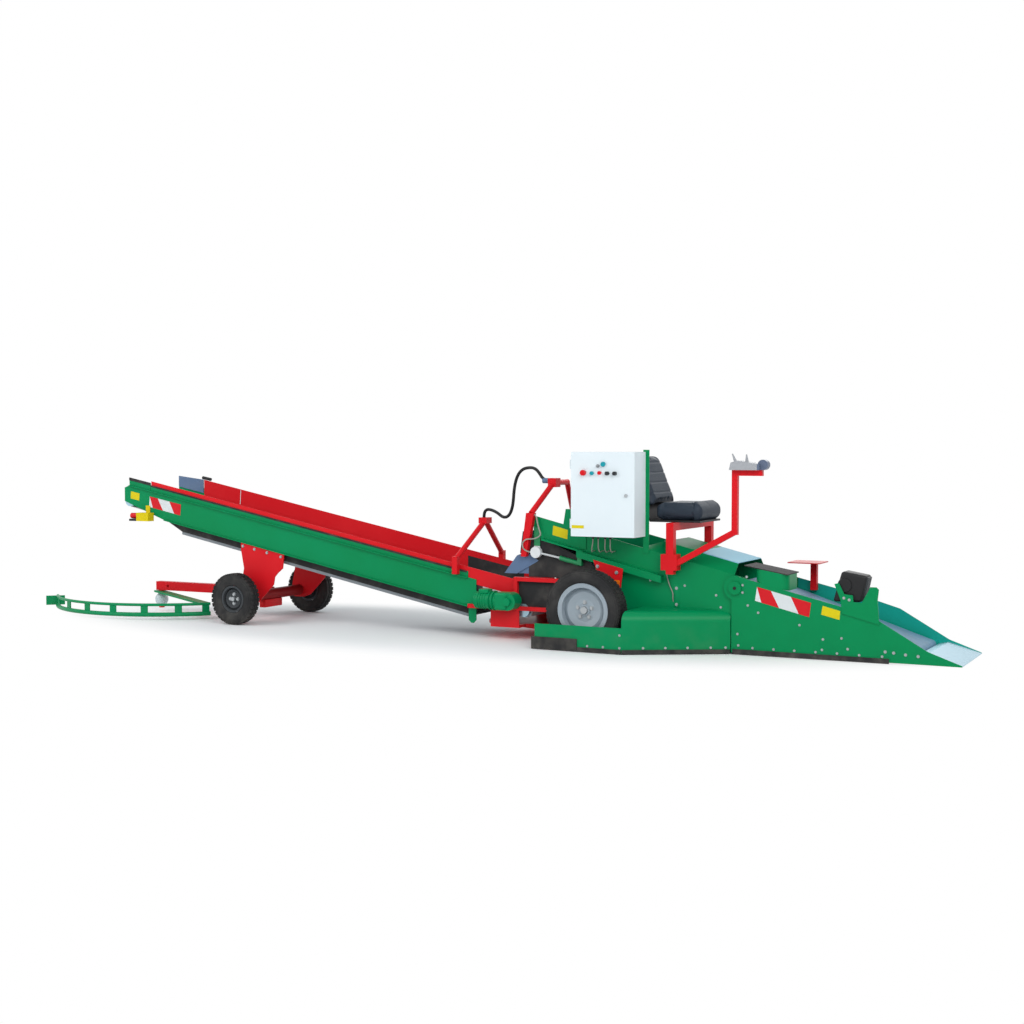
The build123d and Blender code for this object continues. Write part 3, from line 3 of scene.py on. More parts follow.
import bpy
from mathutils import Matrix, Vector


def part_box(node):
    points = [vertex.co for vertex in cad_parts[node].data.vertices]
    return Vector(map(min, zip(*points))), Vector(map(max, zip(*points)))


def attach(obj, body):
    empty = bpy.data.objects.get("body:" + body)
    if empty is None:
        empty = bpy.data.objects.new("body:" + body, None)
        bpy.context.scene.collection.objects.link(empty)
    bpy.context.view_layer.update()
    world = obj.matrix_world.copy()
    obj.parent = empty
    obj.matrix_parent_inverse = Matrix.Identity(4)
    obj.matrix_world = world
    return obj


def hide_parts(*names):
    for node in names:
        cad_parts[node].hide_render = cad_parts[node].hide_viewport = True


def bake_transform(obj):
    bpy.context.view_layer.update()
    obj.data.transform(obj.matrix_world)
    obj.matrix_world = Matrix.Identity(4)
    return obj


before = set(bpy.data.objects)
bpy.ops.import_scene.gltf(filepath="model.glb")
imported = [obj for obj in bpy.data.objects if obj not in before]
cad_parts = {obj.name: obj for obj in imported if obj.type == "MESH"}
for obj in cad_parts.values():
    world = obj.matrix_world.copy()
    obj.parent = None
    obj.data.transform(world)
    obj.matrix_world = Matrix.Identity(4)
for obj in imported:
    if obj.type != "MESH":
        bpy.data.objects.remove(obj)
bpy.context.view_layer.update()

import logging
import math
from dataclasses import dataclass, field
from enum import Enum
from typing import Dict, List, Optional, Sequence, Tuple, Union

import bmesh
import bpy
from mathutils import Matrix, Vector

LOG = logging.getLogger("scoop_loader")
Point = Tuple[float, float, float]
Colour = Tuple[float, float, float]
Outline = Tuple[Tuple[float, float], ...]
Span = Tuple[Point, Point]

AXLE_LOW, AXLE_HIGH = (Vector(c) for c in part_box("drive_axle"))
AXLE_X = (AXLE_LOW.x + AXLE_HIGH.x) / 2
SENSOR_MM = 36.0
# Outer faces, as distances from the middle plane
SCOOP_FACE = 0.366
WALL_FACE = 0.346
SKIRT_FACE = 0.752
CONVEYOR_FACE = 0.3601
DOOR_FACE = 0.5605
BOX_EDGE_STEPS = 2
# Washers and bolt heads: heights from the seat, and shares of the size across corners
WASHER_FOOT, WASHER_TOP, WASHER_SHARE = 0.001, 0.0018, 0.66
HEAD_FOOT, HEAD_SHARE = 0.0012, 0.42
# Places of the Mix node's colour sockets
MIX_FACTOR, MIX_FIRST, MIX_SECOND, MIX_RESULT = 0, 6, 7, 2


def at(x: float, y: float, z: float) -> Vector:
    """A point in the frame, with x counted from the drive axle in metres."""
    return Vector((x + AXLE_X, y, z))


def on_face(outline: Sequence[Tuple[float, float]], y: float) -> List[Vector]:
    """An outline in X and Z as points on an upright face."""
    return [at(x, y, z) for x, z in outline]


def ends_of(span: Span) -> Tuple[Vector, Vector]:
    """Two points in the frame, each with x counted from the drive axle."""
    return at(*span[0]), at(*span[1])


def tinted(colour: Colour, by: Colour) -> Colour:
    """A colour with each channel multiplied."""
    return (colour[0] * by[0], colour[1] * by[1], colour[2] * by[2])


def rounded(bm: bmesh.types.BMesh, edges: Sequence[bmesh.types.BMEdge], width: float, segments: int) -> None:
    """Rounds some edges of a mesh."""
    bmesh.ops.bevel(
        bm, geom=edges, offset=width, segments=segments, profile=0.5, affect="EDGES", material=-1
    )


def tyre_middle(wheel: str) -> Vector:
    """The middle of a wheel's tyre."""
    low, high = (Vector(c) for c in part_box("tyre_" + wheel))
    return (low + high) / 2


class Body(Enum):
    """The bodies that pieces ride on."""

    CHASSIS = "chassis"
    SCOOP = "scoop"
    CONVEYOR = "conveyor"
    DOOR = "cabinet_door"
    DRIVE_NEAR = "wheel_drive_near"
    DRIVE_FAR = "wheel_drive_far"
    SMALL_NEAR = "wheel_small_near"
    SMALL_FAR = "wheel_small_far"


class Value:
    """A shader socket that Python's operators work on."""

    def __init__(self, graph: "Graph", socket: bpy.types.NodeSocket) -> None:
        """Keeps the socket and the graph it belongs to."""
        self.graph = graph
        self.socket = socket

    def __add__(self, other: "Number") -> "Value":
        """Sum."""
        return self.graph.math("ADD", self, other)

    def __mul__(self, other: "Number") -> "Value":
        """Product."""
        return self.graph.math("MULTIPLY", self, other)

    def __gt__(self, other: "Number") -> "Value":
        """One where this is greater."""
        return self.graph.math("GREATER_THAN", self, other)

    def __lt__(self, other: "Number") -> "Value":
        """One where this is less."""
        return self.graph.math("LESS_THAN", self, other)

    def step(self, low: float, high: float) -> "Value":
        """A smooth rise from zero at low to one at high.

        Args:
            low: Where the rise starts.
            high: Where it ends, which may be below low.

        Returns:
            The rise, between zero and one.
        """
        settings = {"interpolation_type": "SMOOTHSTEP", "clamp": True}
        links = {"Value": self, "From Min": low, "From Max": high, "To Min": 0.0, "To Max": 1.0}
        return self.graph.node("ShaderNodeMapRange", settings, links)["Result"]


Number = Union[Value, float]


class Made:
    """A node that has been added, whose outputs are read by name."""

    def __init__(self, graph: "Graph", node: bpy.types.Node) -> None:
        """Keeps the node."""
        self.graph = graph
        self.node = node

    def __getitem__(self, name: Union[str, int]) -> Value:
        """The named output, or the one at that place."""
        return Value(self.graph, self.node.outputs[name])


class Graph:
    """A node tree, written as expressions."""

    def __init__(self, name: str, world: Optional[bpy.types.World] = None) -> None:
        """Starts an empty tree.

        Args:
            name: The name of a new material.
            world: A world whose tree is written instead.
        """
        self.holder = bpy.data.materials.new(name) if world is None else world
        self.holder.use_nodes = True
        self.tree = self.holder.node_tree
        self.tree.nodes.clear()

    def node(self, kind: str, settings: Dict[str, object], links: Dict[Union[str, int], object]) -> Made:
        """Adds a node.

        Args:
            kind: The node's type.
            settings: Its properties, set first.
            links: Values or sockets for its inputs.

        Returns:
            The node, for its outputs.
        """
        made = self.tree.nodes.new(kind)
        for key, value in settings.items():
            setattr(made, key, value)
        for key, value in links.items():
            socket = made.inputs[key]
            if isinstance(value, Value):
                self.tree.links.new(value.socket, socket)
            elif isinstance(value, tuple) and len(value) == 3 and socket.type == "RGBA":
                socket.default_value = (*value, 1.0)
            else:
                socket.default_value = value
        return Made(self, made)

    def math(self, operation: str, first: Number, second: Number) -> Value:
        """A Math node of two values."""
        return self.node("ShaderNodeMath", {"operation": operation}, {0: first, 1: second})["Value"]

    def place(self) -> Value:
        """Object coordinates."""
        return self.node("ShaderNodeTexCoord", {}, {})["Object"]

    def axis(self, name: str) -> Value:
        """One of the object coordinates, X, Y or Z."""
        return self.node("ShaderNodeSeparateXYZ", {}, {"Vector": self.place()})[name]

    def noise(self, scale: float, detail: float = 3.0, stretch: Point = (1.0, 1.0, 1.0)) -> Value:
        """Cloudy noise about 0.5.

        Args:
            scale: Features to the metre.
            detail: Octaves.
            stretch: How the pattern is scaled along each axis.

        Returns:
            The noise, from zero to one.
        """
        moved = self.node("ShaderNodeMapping", {}, {"Vector": self.place(), "Scale": stretch})["Vector"]
        return self.node("ShaderNodeTexNoise", {}, {"Vector": moved, "Scale": scale, "Detail": detail})["Fac"]

    def mix(self, share: Number, first: Union[Value, Colour], second: Union[Value, Colour]) -> Value:
        """A mix of two colours, share of the second."""
        links = {MIX_FACTOR: share, MIX_FIRST: first, MIX_SECOND: second}
        return self.node("ShaderNodeMix", {"data_type": "RGBA"}, links)[MIX_RESULT]

    def wave(self, direction: str, scale: float) -> Value:
        """Bands along an axis, from zero to one."""
        links = {"Vector": self.place(), "Scale": scale}
        return self.node("ShaderNodeTexWave", {"bands_direction": direction}, links)["Fac"]

    def bump(self, height: Value, strength: float, distance: float) -> Value:
        """A bump from a height."""
        links = {"Height": height, "Strength": strength, "Distance": distance}
        return self.node("ShaderNodeBump", {}, links)["Normal"]

    def surface(self, **sockets: object) -> bpy.types.Material:
        """Ends the tree in a Principled shader.

        Args:
            sockets: Its inputs, with underscores for spaces.

        Returns:
            The finished material.
        """
        links = {key.replace("_", " "): value for key, value in sockets.items()}
        shader = self.node("ShaderNodeBsdfPrincipled", {}, links)["BSDF"]
        self.node("ShaderNodeOutputMaterial", {}, {"Surface": shader})
        return self.holder


FLOOR_DUST = (0.34, 0.31, 0.26)
RUST_TONE = (0.22, 0.11, 0.05)
RUBBER_DUST = (0.2, 0.18, 0.15)
SCUFF_TONE = (0.05, 0.06, 0.075)
ZONE_SHADE = (0.85, 0.85, 0.85)
MOULD_SHADE = (0.8, 0.8, 0.8)
STEEL_SHADE = (0.82, 0.84, 0.86)
WORN_TINT = (1.3, 1.25, 1.2)


@dataclass(frozen=True)
class Enamel:
    """Sprayed enamel, nearly new, with a little dust low down."""

    name: str
    colour: Colour
    faded: Colour
    roughness: float = 0.34
    dust: float = 0.05
    dust_top: float = 0.3
    gloss: float = 0.12

    def build(self) -> bpy.types.Material:
        """Makes the enamel.

        Returns:
            The material.
        """
        g = Graph(self.name)
        base = g.mix(g.noise(1.6, 4.0).step(0.3, 0.8), self.colour, self.faded)
        low = g.axis("Z").step(self.dust_top, 0.02) * g.noise(9.0, 6.0).step(0.35, 0.8)
        dusty = low * self.dust
        base = g.mix(dusty, base, FLOOR_DUST)
        rough = g.noise(14.0, 4.0) * 0.1 + (self.roughness - 0.05) + dusty * 0.4
        peel = g.bump(g.noise(160.0, 2.0), 0.03, 0.002)
        return g.surface(Base_Color=base, Roughness=rough, Normal=peel, Specular_IOR_Level=self.gloss)


@dataclass(frozen=True)
class Zone:
    """A block of the object's own coordinates with a colour of its own, x from the drive axle."""

    x0: float
    x1: float
    z0: float
    z1: float
    colour: Colour
    roughness: float = 0.4
    y0: float = -9.0
    y1: float = 9.0


@dataclass(frozen=True)
class Zoned:
    """A finish that changes colour from zone to zone."""

    name: str
    colour: Colour
    zones: Tuple[Zone, ...]
    roughness: float = 0.4
    gloss: float = 0.15
    grain: float = 200.0

    def build(self) -> bpy.types.Material:
        """Makes the zoned finish.

        Returns:
            The material.
        """
        g = Graph(self.name)
        cloud = g.noise(6.0, 5.0)
        base = g.mix(cloud, tinted(self.colour, ZONE_SHADE), self.colour)
        rough = cloud * 0.1 + (self.roughness - 0.05)
        x, y, z = g.axis("X"), g.axis("Y"), g.axis("Z")
        for zone in self.zones:
            inside = (x > zone.x0 + AXLE_X) * (x < zone.x1 + AXLE_X) * (z > zone.z0) * (z < zone.z1)
            inside = inside * (y > zone.y0) * (y < zone.y1)
            base = g.mix(inside, base, zone.colour)
            rough = rough + inside * (zone.roughness - self.roughness)
        normal = g.bump(g.noise(self.grain, 2.0), 0.06, 0.001)
        return g.surface(Base_Color=base, Roughness=rough, Normal=normal, Specular_IOR_Level=self.gloss)


@dataclass(frozen=True)
class BareSteel:
    """Steel plate polished by the crop."""

    name: str
    # The default colour is the steel's own grey with a painted sky reflection that makes it pale blue.
    colour: Colour = (0.42, 0.63, 0.73)
    roughness: float = 0.34
    rust: float = 0.06
    along: Point = (1.0, 14.0, 14.0)

    def build(self) -> bpy.types.Material:
        """Makes the plate.

        Returns:
            The material.
        """
        g = Graph(self.name)
        streak = g.noise(7.0, 5.0, self.along)
        base = g.mix(streak, tinted(self.colour, STEEL_SHADE), self.colour)
        spots = g.noise(11.0, 6.0).step(0.56, 0.74) * self.rust
        base = g.mix(spots, base, RUST_TONE)
        rough = streak * 0.2 + (self.roughness - 0.1) + spots * 0.4
        lines = g.bump(g.noise(38.0, 3.0, self.along), 0.08, 0.001)
        return g.surface(Base_Color=base, Roughness=rough, Metallic=0.75, Normal=lines)


@dataclass(frozen=True)
class Rubber:
    """Matt rubber with a dusty bloom."""

    name: str
    colour: Colour = (0.022, 0.022, 0.023)
    bloom: Colour = (0.11, 0.10, 0.09)
    roughness: float = 0.72
    grain: float = 220.0
    dust_top: float = 0.3

    def build(self) -> bpy.types.Material:
        """Makes the rubber.

        Returns:
            The material.
        """
        g = Graph(self.name)
        cloud = g.noise(8.0, 6.0).step(0.4, 0.8) * 0.5
        base = g.mix(cloud, self.colour, self.bloom)
        low = g.axis("Z").step(self.dust_top, 0.0) * g.noise(15.0, 5.0).step(0.35, 0.75) * 0.2
        base = g.mix(low, base, RUBBER_DUST)
        rough = g.noise(25.0, 3.0) * 0.15 + (self.roughness - 0.07)
        pebble = g.bump(g.noise(self.grain, 2.0), 0.15, 0.001)
        return g.surface(Base_Color=base, Roughness=rough, Normal=pebble, Specular_IOR_Level=0.22)


@dataclass(frozen=True)
class Belting:
    """Woven conveyor belting with soil in its weave."""

    name: str
    colour: Colour = (0.26, 0.33, 0.39)
    soil: Colour = (0.20, 0.17, 0.13)
    threads: float = 90.0

    def build(self) -> bpy.types.Material:
        """Makes the belting.

        Returns:
            The material.
        """
        g = Graph(self.name)
        worn = g.noise(3.0, 6.0, (0.5, 2.0, 1.0))
        base = g.mix(worn.step(0.3, 0.75), self.colour, tinted(self.colour, WORN_TINT))
        dirt = g.noise(12.0, 6.0).step(0.5, 0.75) * 0.2
        base = g.mix(dirt, base, self.soil)
        weave = g.wave("X", self.threads) * g.wave("Y", self.threads)
        normal = g.bump(weave, 0.25, 0.001)
        return g.surface(Base_Color=base, Roughness=dirt * 0.3 + 0.55, Normal=normal)


@dataclass(frozen=True)
class Vinyl:
    """Upholstery vinyl with a fine hide grain."""

    name: str
    colour: Colour = (0.021, 0.032, 0.048)
    grain: float = 260.0

    def build(self) -> bpy.types.Material:
        """Makes the vinyl.

        Returns:
            The material.
        """
        g = Graph(self.name)
        links = {"Vector": g.place(), "Scale": self.grain}
        cells = g.node("ShaderNodeTexVoronoi", {"feature": "DISTANCE_TO_EDGE"}, links)
        normal = g.bump(cells["Distance"].step(0.0, 0.25), 0.22, 0.0008)
        scuff = g.noise(7.0, 6.0).step(0.52, 0.8) * 0.4
        base = g.mix(scuff, self.colour, SCUFF_TONE)
        rough = scuff * 0.25 + 0.5
        return g.surface(Base_Color=base, Roughness=rough, Normal=normal, Specular_IOR_Level=0.22)


@dataclass(frozen=True)
class Moulding:
    """Moulded plastic with a light texture."""

    name: str
    colour: Colour
    roughness: float = 0.45

    def build(self) -> bpy.types.Material:
        """Makes the plastic.

        Returns:
            The material.
        """
        g = Graph(self.name)
        cloud = g.noise(18.0, 5.0)
        base = g.mix(cloud, tinted(self.colour, MOULD_SHADE), self.colour)
        rough = cloud * 0.12 + (self.roughness - 0.06)
        normal = g.bump(g.noise(420.0, 2.0), 0.06, 0.0005)
        return g.surface(Base_Color=base, Roughness=rough, Normal=normal, Specular_IOR_Level=0.2)


@dataclass(frozen=True)
class Lens:
    """Moulded lamp lens with flutes."""

    name: str
    colour: Colour = (0.035, 0.04, 0.045)
    flutes: float = 40.0

    def build(self) -> bpy.types.Material:
        """Makes the lens.

        Returns:
            The material.
        """
        g = Graph(self.name)
        normal = g.bump(g.wave("Z", self.flutes), 0.3, 0.002)
        cloud = g.noise(20.0, 4.0)
        base = g.mix(cloud, tinted(self.colour, MOULD_SHADE), self.colour)
        rough = cloud * 0.08 + 0.45
        return g.surface(Base_Color=base, Roughness=rough, Normal=normal, Specular_IOR_Level=0.1)


GREEN_TONE = (0.0, 0.235, 0.075)
RED_TONE = (0.66, 0.008, 0.014)
GREEN = Enamel("green enamel", GREEN_TONE, (0.0, 0.26, 0.095))
RED = Enamel("red enamel", RED_TONE, (0.72, 0.016, 0.022), 0.36)
DARK_RED = Enamel("dark red enamel", (0.26, 0.008, 0.01), (0.3, 0.014, 0.016), 0.45)
WHITE = Enamel("white powder coat", (0.75, 0.82, 0.85), (0.78, 0.85, 0.87), 0.42, 0.0)
GREY = Enamel("grey enamel", (0.30, 0.31, 0.32), (0.36, 0.37, 0.38), 0.45)
SILVER = Enamel("silver wheel enamel", (0.27, 0.325, 0.365), (0.33, 0.38, 0.42), 0.36, 0.15, 0.3, 0.4)
DARK_RIM = Enamel("dark wheel enamel", (0.045, 0.05, 0.055), (0.07, 0.075, 0.08), 0.45)
STEEL = BareSteel("bare steel")
ZINC = BareSteel("zinc plated steel", (0.44, 0.46, 0.47), 0.45, 0.0, (1.0, 1.0, 1.0))
PALE = Enamel("pale knob", (0.52, 0.6, 0.63), (0.58, 0.66, 0.69), 0.3, 0.0, 0.3, 0.4)
TYRE = Rubber("tyre rubber", (0.02, 0.02, 0.021), (0.09, 0.085, 0.078), 0.78, 130.0, 0.25)
BLACK_RUBBER = Rubber("black sheet rubber")
TRAY = Rubber("grey tray", (0.22, 0.24, 0.26), (0.28, 0.3, 0.32), 0.5)
FLAP_TONE = (0.115, 0.18, 0.30)
FLAP_RUBBER = Rubber("grey flap rubber", FLAP_TONE, (0.17, 0.23, 0.33), 0.6)
CABLE = Rubber("cable jacket", (0.012, 0.012, 0.013), (0.05, 0.05, 0.05), 0.5, 400.0)
LEAD = Rubber("grey lead jacket", (0.31, 0.31, 0.26), (0.37, 0.36, 0.31), 0.5, 400.0)
BELT = Belting("blue grey belting", (0.13, 0.25, 0.36))
PALE_BELT = Belting("pale grey belting", (0.4, 0.44, 0.46))
VINYL = Vinyl("black vinyl")
BLACK_PLASTIC = Moulding("black moulding", (0.02, 0.02, 0.021))
YELLOW = Moulding("yellow moulding", (0.76, 0.62, 0.006), 0.4)
WHITE_FILM = Moulding("white reflective film", (0.76, 0.79, 0.80), 0.4)
RED_FILM = Moulding("red reflective film", (0.70, 0.010, 0.017), 0.4)
ORANGE = Moulding("orange reflector", (0.8, 0.17, 0.01), 0.2)
LENS = Lens("lamp lens")
DARK_TONE = (0.03, 0.032, 0.035)
TEAL_TONE = (0.012, 0.30, 0.36)
BUTTONS = Zoned(
    "cabinet buttons", (0.45, 0.47, 0.48),
    (
        Zone(-0.09, -0.03, 1.22, 1.30, RED_TONE, 0.25), Zone(-0.03, 0.03, 1.22, 1.30, TEAL_TONE, 0.25),
        Zone(0.045, 0.09, 1.22, 1.30, RED_TONE, 0.25), Zone(0.10, 0.22, 1.22, 1.30, DARK_TONE),
        Zone(0.06, 0.13, 1.30, 1.36, TEAL_TONE, 0.25),
    ),
)
SWITCH = Zoned(
    "stop switch", (0.76, 0.60, 0.006),
    (Zone(-4.45, -4.297, 0.835, 0.95, RED_TONE, 0.25), Zone(-4.45, -4.297, 0.80, 0.835, DARK_TONE)),
)
TAKE_UP = Zoned(
    "take-up screws", (0.62, 0.64, 0.65),
    (
        Zone(-0.336, -0.1, 0.5, 0.8, GREEN_TONE), Zone(-0.6, -0.48, 0.62, 0.71, (0.72, 0.74, 0.75), 0.3),
        Zone(-0.6, -0.48, 0.71, 0.9, GREEN_TONE),
    ),
    0.3, 0.5,
)
# Painted sky reflection: the raised cover's middle is made pale blue over its green paint.
DECK_SKY_REFLECTION = (0.22, 0.5, 0.63)
DECK = Zoned(
    "raised cover", GREEN_TONE, (Zone(0.70, 1.2, 0.4, 0.9, DECK_SKY_REFLECTION, 0.4, -0.262, 0.262),), 0.4, 0.05
)
HEAD_FLAP = Zoned(
    "head flaps", (0.03, 0.031, 0.033),
    (
        Zone(-0.83, -0.48, 0.45, 0.6551, FLAP_TONE, 0.6, -0.36, -0.3379),
        Zone(-0.83, -0.48, 0.45, 0.6551, FLAP_TONE, 0.6, 0.3379, 0.36),
    ),
    0.7,
)
# Painted sky reflection: the scoop walls' inner faces are made lighter and bluer than their green paint.
INNER_SKY_REFLECTION = (0.01, 0.35, 0.27)
SCOOP_WALLS = Zoned(
    "scoop walls", (0.0, 0.255, 0.083),
    (
        Zone(1.25, 2.6, 0.0, 0.7, INNER_SKY_REFLECTION, 0.34, 0.3, 0.3615),
        Zone(1.25, 2.6, 0.0, 0.7, INNER_SKY_REFLECTION, 0.34, -0.3615, -0.3),
    ),
    0.34, 0.12, 160.0,
)
# Painted highlight: the foot plate's top face is made paler than its red paint.
STEP_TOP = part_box("foot_plate")[1][2]
STEP_TOP_HIGHLIGHT = (0.75, 0.25, 0.24)
STEP = Zoned(
    "foot plate", RED_TONE, (Zone(0.5, 2.6, STEP_TOP - 0.003, STEP_TOP + 0.01, STEP_TOP_HIGHLIGHT),), 0.36, 0.12
)
CONSOLE = Zoned("console", (0.40, 0.41, 0.43), (Zone(1.19, 1.3, 1.2, 1.45, (0.12, 0.15, 0.22), 0.3),), 0.35)
Finish = Union[Zoned, Enamel, BareSteel, Rubber, Belting, Vinyl, Moulding, Lens]

NODE_FINISHES: Dict[str, Finish] = {
    "side_walls": GREEN, "skirts": GREEN, "skirt_rubber": BLACK_RUBBER, "drive_axle": GREY,
    "floor_pan": GREEN, "drive_block": GREY, "elevator_belt": BELT, "elevator_drums": STEEL,
    "foot_deck": DECK, "take_ups": TAKE_UP, "wheel_brackets": RED, "cabinet_box": WHITE,
    "cabinet_door": WHITE, "cabinet_buttons": BUTTONS, "cabinet_post": GREEN, "seat_frame": RED,
    "seat_shell": BLACK_PLASTIC, "seat_cushion": VINYL, "seat_back": VINYL, "console": CONSOLE,
    "arch_rear": RED, "head_flaps": HEAD_FLAP, "hitch_tongue": RED,
    "scoop_sides": SCOOP_WALLS, "scoop_lip": STEEL, "scoop_belt": BELT, "scoop_rollers": STEEL,
    "scoop_bed": GREEN, "scoop_rubber": BLACK_RUBBER,
    "scoop_hood": GREEN, "foot_plate": STEP, "work_lamp": BLACK_PLASTIC, "lamp_strap": GREEN,
    "conveyor_sides": GREEN, "side_boards": RED, "conveyor_belt": PALE_BELT, "conveyor_drums": STEEL,
    "conveyor_bed": GREEN, "return_tray": TRAY, "hopper": BLACK_RUBBER, "hopper_rim": RED, "turntable": RED,
    "gearmotor": GREEN, "leg_plates": RED, "trailing_axle": DARK_RED, "tail_arm": RED,
    "tail_knob": PALE, "guide_rail": GREEN, "arch_front": RED, "stop_switch": SWITCH,
    "end_flap": FLAP_RUBBER, "control_cable": CABLE,
    "tyre_drive_near": TYRE, "tyre_drive_far": TYRE, "tyre_small_near": TYRE, "tyre_small_far": TYRE,
    "rim_drive_near": SILVER, "rim_drive_far": SILVER, "rim_small_near": DARK_RIM, "rim_small_far": DARK_RIM,
}


class Paintshop:
    """Makes each finish once and puts it on the CAD nodes."""

    def __init__(self) -> None:
        """Starts with nothing mixed."""
        self.mixed: Dict[str, bpy.types.Material] = {}

    def get(self, finish: Finish) -> bpy.types.Material:
        """The material of a finish, made at its first use.

        Args:
            finish: The finish.

        Returns:
            Its material.
        """
        if finish.name not in self.mixed:
            self.mixed[finish.name] = finish.build()
        return self.mixed[finish.name]

    def dress_nodes(self) -> None:
        """Gives every CAD node its finish."""
        for name, finish in NODE_FINISHES.items():
            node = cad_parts.get(name)
            if node is None:
                continue
            node.data.materials.clear()
            node.data.materials.append(self.get(finish))


SHOP = Paintshop()


class Piece:
    """A mesh in the making, with the operators this machine's parts need."""

    def __init__(self, name: str) -> None:
        """Starts empty.

        Args:
            name: The piece's name.
        """
        self.name = name
        self.bm = bmesh.new()

    def box(self, low: Vector, high: Vector, bevel: float) -> "Piece":
        """Adds a box between two corners.

        Args:
            low: The lowest corner.
            high: The highest corner.
            bevel: The width of its rounded edges.

        Returns:
            This piece.
        """
        size = high - low
        place = Matrix.Translation((low + high) / 2) @ Matrix.Diagonal((*size, 1.0))
        made = bmesh.ops.create_cube(self.bm, size=1.0, matrix=place)
        rounded(self.bm, list({e for v in made["verts"] for e in v.link_edges}), bevel, BOX_EDGE_STEPS)
        return self

    def rod(
        self, start: Vector, end: Vector, radius: float, sides: int = 20, tip: Optional[float] = None
    ) -> "Piece":
        """Adds a round bar or a cone.

        Args:
            start: One end's middle.
            end: The other end's middle.
            radius: The radius at the start.
            sides: How many sides it has.
            tip: The radius at the end, if different.

        Returns:
            This piece.
        """
        run = end - start
        turn = Vector((0, 0, 1)).rotation_difference(run).to_matrix().to_4x4()
        place = Matrix.Translation((start + end) / 2) @ turn
        bmesh.ops.create_cone(
            self.bm, cap_ends=True, segments=sides, radius1=radius,
            radius2=radius if tip is None else tip, depth=run.length, matrix=place,
        )
        return self

    def bolt(self, seat: Vector, out: Vector, across: float) -> "Piece":
        """Adds a hexagon head on its washer.

        Args:
            seat: The middle of its seat.
            out: The way it stands out.
            across: The size across its corners.

        Returns:
            This piece.
        """
        way = out.normalized()
        self.rod(seat - way * WASHER_FOOT, seat + way * WASHER_TOP, across * WASHER_SHARE, 14)
        self.rod(seat + way * HEAD_FOOT, seat + way * across * HEAD_SHARE, across / 2, 6)
        return self

    def plate(self, outline: Sequence[Vector], thickness: Vector) -> "Piece":
        """Adds a flat plate with a given outline.

        Args:
            outline: Its corners in order.
            thickness: The way and distance that it is thickened.

        Returns:
            This piece.
        """
        face = self.bm.faces.new([self.bm.verts.new(p) for p in outline])
        grown = bmesh.ops.extrude_face_region(self.bm, geom=[face], use_keep_orig=True)
        moved = [g for g in grown["geom"] if isinstance(g, bmesh.types.BMVert)]
        bmesh.ops.translate(self.bm, verts=moved, vec=thickness)
        return self

    def soften(self, width: float, segments: int) -> "Piece":
        """Rounds every edge made so far.

        Args:
            width: The width of the rounding.
            segments: The steps across it.

        Returns:
            This piece.
        """
        bmesh.ops.recalc_face_normals(self.bm, faces=self.bm.faces)
        rounded(self.bm, self.bm.edges[:], width, segments)
        return self

    def turned(self, outline: Sequence[Tuple[float, float]], middle: Vector, steps: int) -> "Piece":
        """Adds a closed ring or disc turned about the Y axis.

        Args:
            outline: Places along Y and radii, in order round the section.
            middle: The middle of the turned shape.
            steps: Steps round the turn.

        Returns:
            This piece.
        """
        verts = [self.bm.verts.new(middle + Vector((0, y, r))) for y, r in outline]
        count = len(verts)
        edges = [self.bm.edges.new((verts[i], verts[(i + 1) % count])) for i in range(count)]
        bmesh.ops.spin(
            self.bm, geom=verts + edges, cent=middle, axis=(0, 1, 0), angle=2 * math.pi,
            steps=steps, use_merge=True, use_duplicate=False,
        )
        return self

    def finish(
        self, finish: Finish, body: Body, slot: str, replaces: Sequence[str] = (), angle: float = 35.0
    ) -> bpy.types.Object:
        """Makes the object, dresses it and lets it ride.

        Args:
            finish: Its finish.
            body: The body it rides on.
            slot: The record's material slot; not used.
            replaces: CAD nodes that it stands for.
            angle: Edges sharper than this, in degrees, stay sharp.

        Returns:
            The object.
        """
        bmesh.ops.remove_doubles(self.bm, verts=self.bm.verts, dist=1e-6)
        bmesh.ops.recalc_face_normals(self.bm, faces=self.bm.faces)
        mesh = bpy.data.meshes.new(self.name)
        self.bm.to_mesh(mesh)
        self.bm.free()
        made = bpy.data.objects.new(self.name, mesh)
        bpy.context.scene.collection.objects.link(made)
        mesh.materials.append(SHOP.get(finish))
        mesh.shade_smooth()
        mesh.set_sharp_from_angle(angle=math.radians(angle))
        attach(made, body.value)
        if replaces:
            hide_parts(*replaces)
        LOG.info("%s: %d faces on %s", self.name, len(mesh.polygons), body.value)
        return made


